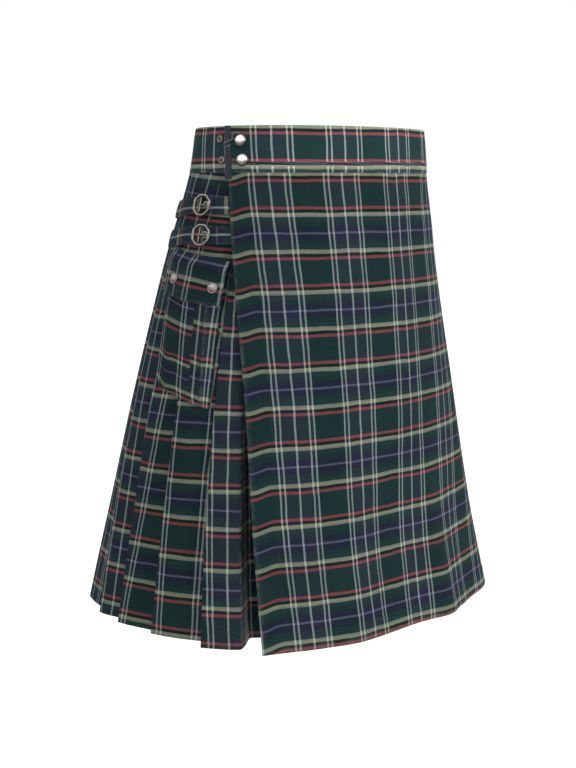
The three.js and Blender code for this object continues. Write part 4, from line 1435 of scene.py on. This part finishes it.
# (radius, height) pairs of the turned pieces
EYELET = (
    (2.1, 0.1), (2.1, 0.8), (2.4, 1.15), (3.0, 1.35), (4.2, 1.15), (4.9, 0.8), (5.2, 0.3), (5.2, -0.15),
    (2.1, -0.15), (2.1, 0.1),
)
KNUCKLE = ((0, -1.25), (1.3, -1.25), (1.65, -0.9), (1.65, 0.9), (1.3, 1.25), (0, 1.25))
SNAP_CAP = (
    (0, -0.6), (7.0, -0.6), (7.5, -0.1), (7.5, 0.35), (7.2, 0.7), (6.7, 0.85), (6.45, 0.95), (6.2, 1.25),
    (5.6, 1.8), (4.6, 2.45), (3.2, 2.95), (1.6, 3.25), (0, 3.32),
)
STUD_RING = (
    (1.7, -0.4), (1.7, 0.7), (1.95, 1.05), (2.5, 1.2), (3.2, 0.85), (3.8, 0.8), (4.5, 1.25), (4.95, 1.1),
    (5.2, 0.6), (5.2, -0.4), (1.7, -0.4),
)
STUD_PIT = ((0, -0.4), (1.75, -0.4), (1.75, 0.1), (0, 0.1))
BUTTON = (
    (0, -0.4), (6.2, -0.4), (6.5, -0.1), (6.5, 0.5), (6.2, 0.95), (5.6, 1.15), (5.2, 1.1), (4.9, 1.0),
    (4.5, 1.15), (3.6, 1.75), (2.2, 2.3), (0.9, 2.52), (0, 2.56),
)
# (x from the centre front, depth), (along, depth), and (side, distance from the flap's side)
CAPS_AT = ((190.0, 17.5), (188.5, 40.0))
STUDS_AT = ((222.0, 15.0), (219.0, 40.0))
BUTTONS_AT, BUTTON_DEPTH = ((-1, 11), (1, 24)), 183.5


def buckle_rim():
    """The rounded octagon of the buckle's wire, in its own plane."""
    x, y = (BUCKLE_WIDTH - BUCKLE_BAR) / 2, (BUCKLE_HEIGHT - BUCKLE_BAR) / 2
    c = BUCKLE_CORNER
    quarter = np.array([(x - c, -y), (x, -y + c), (x, y - c), (x - c, y)])
    corners = np.concatenate([quarter, -quarter])
    closed = np.concatenate([corners, corners[:1]])[None]
    for _ in range(3):
        cut = rounded(closed, 0.88, 1)[:, 1:-1]
        closed = np.concatenate([cut, cut[:, :1]], 1)
    flat = closed[0, :-1] * MM
    points = np.concatenate([flat, np.zeros((len(flat), 1))], 1)
    return tube(points, BUCKLE_BAR / 2 * MM, 14, closed=True, flatten=0.86)


def buckle_prong():
    """The middle bar, the prong and its knuckle, in the buckle's plane."""
    reach = BUCKLE_HEIGHT / 2 - BUCKLE_BAR - 0.2
    bar = tube(stacked(0, np.linspace(-reach, reach, 9), 0.85) * MM, 0.95 * MM, 10)
    t = np.linspace(0, 1, 22)
    line = stacked(-1.2 + 12.2 * t, 0, 1.1 + 0.75 * np.sin(np.pi * t) - 0.25 * t) * MM
    thick = np.interp(t, [0, 0.05, 0.15, 0.8, 0.95, 1], [0.5, 1.0, 1.1, 0.9, 0.65, 0.25]) * MM
    prong = tube(line, thick, 10, flatten=0.9)
    upright = Matrix.Translation((0, 0, 0.95 * MM)) @ Matrix.Rotation(math.pi / 2, 4, "X")
    return joined([bar, prong, moved(turned(KNUCKLE, 20), upright)])


def build_buckles():
    """A buckle with its bar and prong, and an eyelet, on each strap."""
    tipped = Matrix.Rotation(math.radians(BUCKLE_TIP), 4, "Y")
    for name, depth, along in STRAPS:
        top = float(strap_out(along, depth)) + STRAP_WALL / 2 + STRAP_WALL + STRAP_CLEAR
        over = stand(along, depth, top + 3.4) @ tipped
        beside = stand(along - EYELET_OFFSET, depth, top + 0.4)
        on_bar = stand(along + BAR_BACK, depth, top + 2.9) @ tipped
        for piece, part, matrix, node in (
            (f"buckle_rim_{name}", buckle_rim(), over, f"buckle_frame_{name}"),
            (f"eyelet_{name}", turned(EYELET), beside, f"strap_eyelet_{name}"),
            (f"buckle_prong_{name}_metal", buckle_prong(), on_bar, f"buckle_prong_{name}"),
        ):
            add_mesh(piece, *moved(part, matrix), "Aged silver", "aged_silver", (node,))


def add_fastener(node, part, matrix, material, slot):
    """A turned metal piece painted darker at its rim in the grime colour: painted shade."""
    add_mesh(node + "_metal", *moved(part, matrix), material, slot, (node,), wear_and_rim_shade=painted_rim_shade(part))


def build_snaps():
    """The waistband's two caps and two ring studs, and the flap's two buttons."""
    cap, button = turned(SNAP_CAP), turned(BUTTON)
    stud = joined([turned(STUD_RING), turned(STUD_PIT, 24)])
    for i, (x, depth) in enumerate(CAPS_AT, 1):
        girth = float(half_girth(depth))
        along = 2 * girth + x
        matrix = stand(along, depth, float(band_out(along, girth)) + 0.7)
        add_fastener(f"snap_cap_{i}", cap, matrix, "Polished nickel", "polished_nickel")
    for i, (along, depth) in enumerate(STUDS_AT, 1):
        matrix = stand(along, depth, float(band_out(along, half_girth(depth))) + 0.6)
        add_fastener(f"ring_stud_{i}", stud, matrix, "Dull silver", "aged_silver")
    for i, (side, inset) in enumerate(BUTTONS_AT, 1):
        across = side * (1 - inset / FLAP_HALF)
        depth = BUTTON_DEPTH + float(pocket_tilt(FLAP_TOP, across))
        along = float(pocket_centre(depth)) + across * FLAP_HALF
        matrix = stand(along, depth, float(flap_out(along, across, depth)) + FLAP_WALL + 1.15)
        add_fastener(f"pocket_snap_{i}", button, matrix, "Matte metal", "matte_metal")


TACK_COLOUR = (0.5, 0.5, 0.58)
# (along, depth, out) points of the loose threads by the upper snap
TACKS = (
    (
        (214.5, 21.4, -2.6), (213, 21, -1.8), (212.7, 20.7, 0.9), (211.5, 20.3, 2.2), (207, 18.6, 2.3),
        (203, 16.8, 2.2), (199, 15.2, 1.3),
    ),
    (
        (214.5, 26.4, -2.6), (213, 26, -1.8), (212.7, 25.7, 0.9), (211.5, 25.3, 2.2), (208, 24.2, 2.3),
        (205.5, 23.4, 2.1), (203, 22.4, 1.2),
    ),
    (
        (200.5, 14.6, 1.3), (201, 12, 1.7), (199.8, 9.6, 1.9), (197.3, 8.0, 2.0), (194.4, 7.6, 2.0),
        (191.6, 8.1, 1.9), (189.8, 9.2, 1.4),
    ),
)


def build_thread_tacks():
    """Loose tack threads that cross the waistband's end by the upper snap."""
    parts = [tube(place_all(rounded(np.array([line]))[0]), 0.55 * MM, 8) for line in TACKS]
    add_mesh("waistband_tacks", *joined(parts), "Tack thread", "waistband_cloth")


# ---- stage ----
AIM = Vector((0, 0, -0.28))  # what the lights face: the middle of the kilt
# the camera's place beside the diagonal and below the origin, its pitch in degrees, and its shift
CAMERA_ASIDE, CAMERA_DROP, CAMERA_PITCH, CAMERA_SHIFT = 0.035, 0.0405, 8.4, -3.3 / 768
HEM_LEVEL = (TOP - LENGTH) * MM
FLOOR_REACH = 9.0


def add_camera(stage):
    """Looks at the kilt from halfway between its front and its right side."""
    camera = bpy.data.objects.new("Camera", bpy.data.cameras.new("Camera"))
    bpy.context.scene.collection.objects.link(camera)
    pitch, side = math.radians(CAMERA_PITCH), math.sqrt(0.5)
    look = Vector((side * math.cos(pitch), side * math.cos(pitch), -math.sin(pitch)))
    away = stage.camera_distance * side
    camera.location = Vector((-away, -away + CAMERA_ASIDE, -CAMERA_DROP))
    camera.rotation_euler = look.to_track_quat("-Z", "Y").to_euler()
    camera.data.lens = stage.lens
    camera.data.shift_x = CAMERA_SHIFT
    camera.data.clip_end = 50
    bpy.context.scene.camera = camera


def add_lights(stage):
    """Three soft lights that face the kilt."""
    for name, place_at, power, size in (
        ("Key", (0.5, -2.7, 1.2), stage.key, 1.5),
        ("Fill", (-2.7, -0.5, 0.8), stage.fill, 2.0),
        ("Front", (-2.46, -0.66, 0.75), stage.front, 0.35),
    ):
        light = bpy.data.objects.new(name, bpy.data.lights.new(name, "AREA"))
        light.data.energy = power
        light.data.size = size
        light.location = place_at
        light.rotation_euler = (AIM - light.location).to_track_quat("-Z", "Y").to_euler()
        bpy.context.scene.collection.objects.link(light)


def set_world(stage):
    """Pale above and darker below, with a soft box for the metal to mirror and a plain backdrop."""
    world = bpy.data.worlds.new("Studio")
    world.use_nodes = True
    net = Net(world.node_tree)
    background = world.node_tree.nodes["Background"]
    background.inputs["Color"].default_value = (1, 1, 1, 1)
    ray = net.node("ShaderNodeLightPath")
    height = net.node("ShaderNodeSeparateXYZ")
    net.join(net.node("ShaderNodeTexCoord").outputs["Generated"], height.inputs[0])
    sky = net.span(height.outputs[2], -0.2, 1.0, 0.45 * stage.world, 1.5 * stage.world)
    soft_box = net.span(height.outputs[2], 0.0, 0.35, 0.4, stage.soft_box)
    sky = net.span(ray.outputs["Is Glossy Ray"], 0.0, 1.0, sky, soft_box)
    seen = net.span(ray.outputs["Is Camera Ray"], 0.0, 1.0, sky, stage.backdrop)
    net.join(seen, background.inputs["Strength"])
    bpy.context.scene.world = world


def add_floor(stage):
    """A pale floor below the kilt, which looks as bright as the backdrop, and is painted dark grey where the
    metal mirrors it.
    """
    level = HEM_LEVEL - stage.floor_drop
    corners = [(x * FLOOR_REACH, y * FLOOR_REACH, level) for x, y in ((-1, -1), (1, -1), (1, 1), (-1, 1))]
    mesh = bpy.data.meshes.new("floor")
    mesh.from_pydata(corners, [], [(0, 1, 2, 3)])
    floor = bpy.data.objects.new("floor", mesh)
    bpy.context.scene.collection.objects.link(floor)
    net, shader = new_material("Pale floor")
    ray = net.node("ShaderNodeLightPath")
    pale = net.mix(net.noise(net.on_object(), 30.0), (0.9, 0.9, 0.9, 1), (0.93, 0.93, 0.93, 1))
    # as the metal mirrors it, the floor is painted dark grey: a painted shade in the metal's reflections
    mirrored = net.mix(ray.outputs["Is Glossy Ray"], pale, (0.25, 0.25, 0.26, 1))
    net.join(mirrored, shader.inputs["Base Color"])
    shader.inputs["Roughness"].default_value = 0.8
    shader.inputs["Emission Color"].default_value = (1, 1, 1, 1)
    glow = net.math("MULTIPLY", ray.outputs["Is Camera Ray"], stage.floor_glow)
    net.join(glow, shader.inputs["Emission Strength"])
    mesh.materials.append(bpy.data.materials["Pale floor"])


# ---- operators ----
class KILT_OT_materials(bpy.types.Operator):
    """Make the tartan, thread and metal materials"""

    bl_idname = "kilt.materials"
    bl_label = "Materials"

    def execute(self, context):
        trim = context.scene.kilt_trim
        tartan_group()
        wear_group()
        tarnish_group()
        tartan_material("Tartan cloth", contrast=0.3, dust=0.3)
        # the waistband is the same tartan painted 1.5 times as bright: painted light
        tartan_material("Waistband cloth", contrast=0.28, dust=0.35, shade=1.5)
        thread_material("Sewing thread", trim.thread)
        thread_material("Tack thread", TACK_COLOUR)
        thread_material("Dark binding", trim.binding)
        for metal in METALS:
            metal_material(*metal)
        return {"FINISHED"}


class KILT_OT_stage(bpy.types.Operator):
    """Set up the camera, the soft lights and the pale floor"""

    bl_idname = "kilt.stage"
    bl_label = "Stage"

    def execute(self, context):
        stage = context.scene.kilt_stage
        add_camera(stage)
        add_lights(stage)
        set_world(stage)
        add_floor(stage)
        context.scene.view_settings.view_transform = "Standard"
        return {"FINISHED"}


class KILT_OT_pleats(bpy.types.Operator):
    """Fold the sixteen knife pleats round the back"""

    bl_idname = "kilt.pleats"
    bl_label = "Pleats"

    def execute(self, context):
        for piece, (_, first, last) in zip(build_pleats(), PANELS):
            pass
        return {"FINISHED"}


class KILT_OT_aprons(bpy.types.Operator):
    """Hang the outer and the under apron"""

    bl_idname = "kilt.aprons"
    bl_label = "Aprons"

    def execute(self, context):
        outer, under = build_aprons()
        return {"FINISHED"}


class KILT_OT_waistband(bpy.types.Operator):
    """Wrap the waistband with its stitching and turned end"""

    bl_idname = "kilt.waistband"
    bl_label = "Waistband"

    def execute(self, context):
        band = build_waistband()
        build_band_end()
        build_thread_tacks()
        return {"FINISHED"}


class KILT_OT_pocket(bpy.types.Operator):
    """Sew the cargo pocket and its flap on the wearer's right hip"""

    bl_idname = "kilt.pocket"
    bl_label = "Cargo pocket"

    def execute(self, context):
        bag, flap = build_bag(), build_flap()
        return {"FINISHED"}


class KILT_OT_straps(bpy.types.Operator):
    """Lay the two hip straps"""

    bl_idname = "kilt.straps"
    bl_label = "Hip straps"

    def execute(self, context):
        for piece in build_straps():
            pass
        return {"FINISHED"}


class KILT_OT_metal(bpy.types.Operator):
    """Fit the buckles, eyelets, snaps and ring studs"""

    bl_idname = "kilt.metal"
    bl_label = "Buckles and snaps"

    def execute(self, context):
        build_buckles()
        build_snaps()
        return {"FINISHED"}


class KILT_PT_panel(bpy.types.Panel):
    bl_idname = "KILT_PT_panel"
    bl_label = "Tartan Utility Kilt"
    bl_space_type = "VIEW_3D"
    bl_region_type = "UI"
    bl_category = "Kilt"

    def draw(self, context):
        for name in ORDER:
            self.layout.operator(name)
        for settings in (context.scene.kilt_cloth, context.scene.kilt_trim, context.scene.kilt_stage):
            box = self.layout.box()
            for prop in settings.bl_rna.properties:
                if prop.identifier not in ("rna_type", "name"):
                    box.prop(settings, prop.identifier)


ORDER = (
    "kilt.stage",
    "kilt.materials",
    "kilt.waistband",
    "kilt.pleats",
    "kilt.aprons",
    "kilt.pocket",
    "kilt.straps",
    "kilt.metal",
)
CLASSES = (
    KiltClothSettings,
    KiltTrimSettings,
    KiltStageSettings,
    KILT_OT_stage,
    KILT_OT_materials,
    KILT_OT_waistband,
    KILT_OT_pleats,
    KILT_OT_aprons,
    KILT_OT_pocket,
    KILT_OT_straps,
    KILT_OT_metal,
    KILT_PT_panel,
)


def register():
    for cls in CLASSES:
        bpy.utils.register_class(cls)
    bpy.types.Scene.kilt_cloth = PointerProperty(type=KiltClothSettings)
    bpy.types.Scene.kilt_trim = PointerProperty(type=KiltTrimSettings)
    bpy.types.Scene.kilt_stage = PointerProperty(type=KiltStageSettings)


def unregister():
    del bpy.types.Scene.kilt_cloth
    del bpy.types.Scene.kilt_trim
    del bpy.types.Scene.kilt_stage
    for cls in reversed(CLASSES):
        bpy.utils.unregister_class(cls)


def main():
    register()
    bpy.ops.kilt.stage()
    bpy.ops.kilt.materials()
    bpy.ops.kilt.waistband()
    bpy.ops.kilt.pleats()
    bpy.ops.kilt.aprons()
    bpy.ops.kilt.pocket()
    bpy.ops.kilt.straps()
    bpy.ops.kilt.metal()


if __name__ == "__main__":
    main()
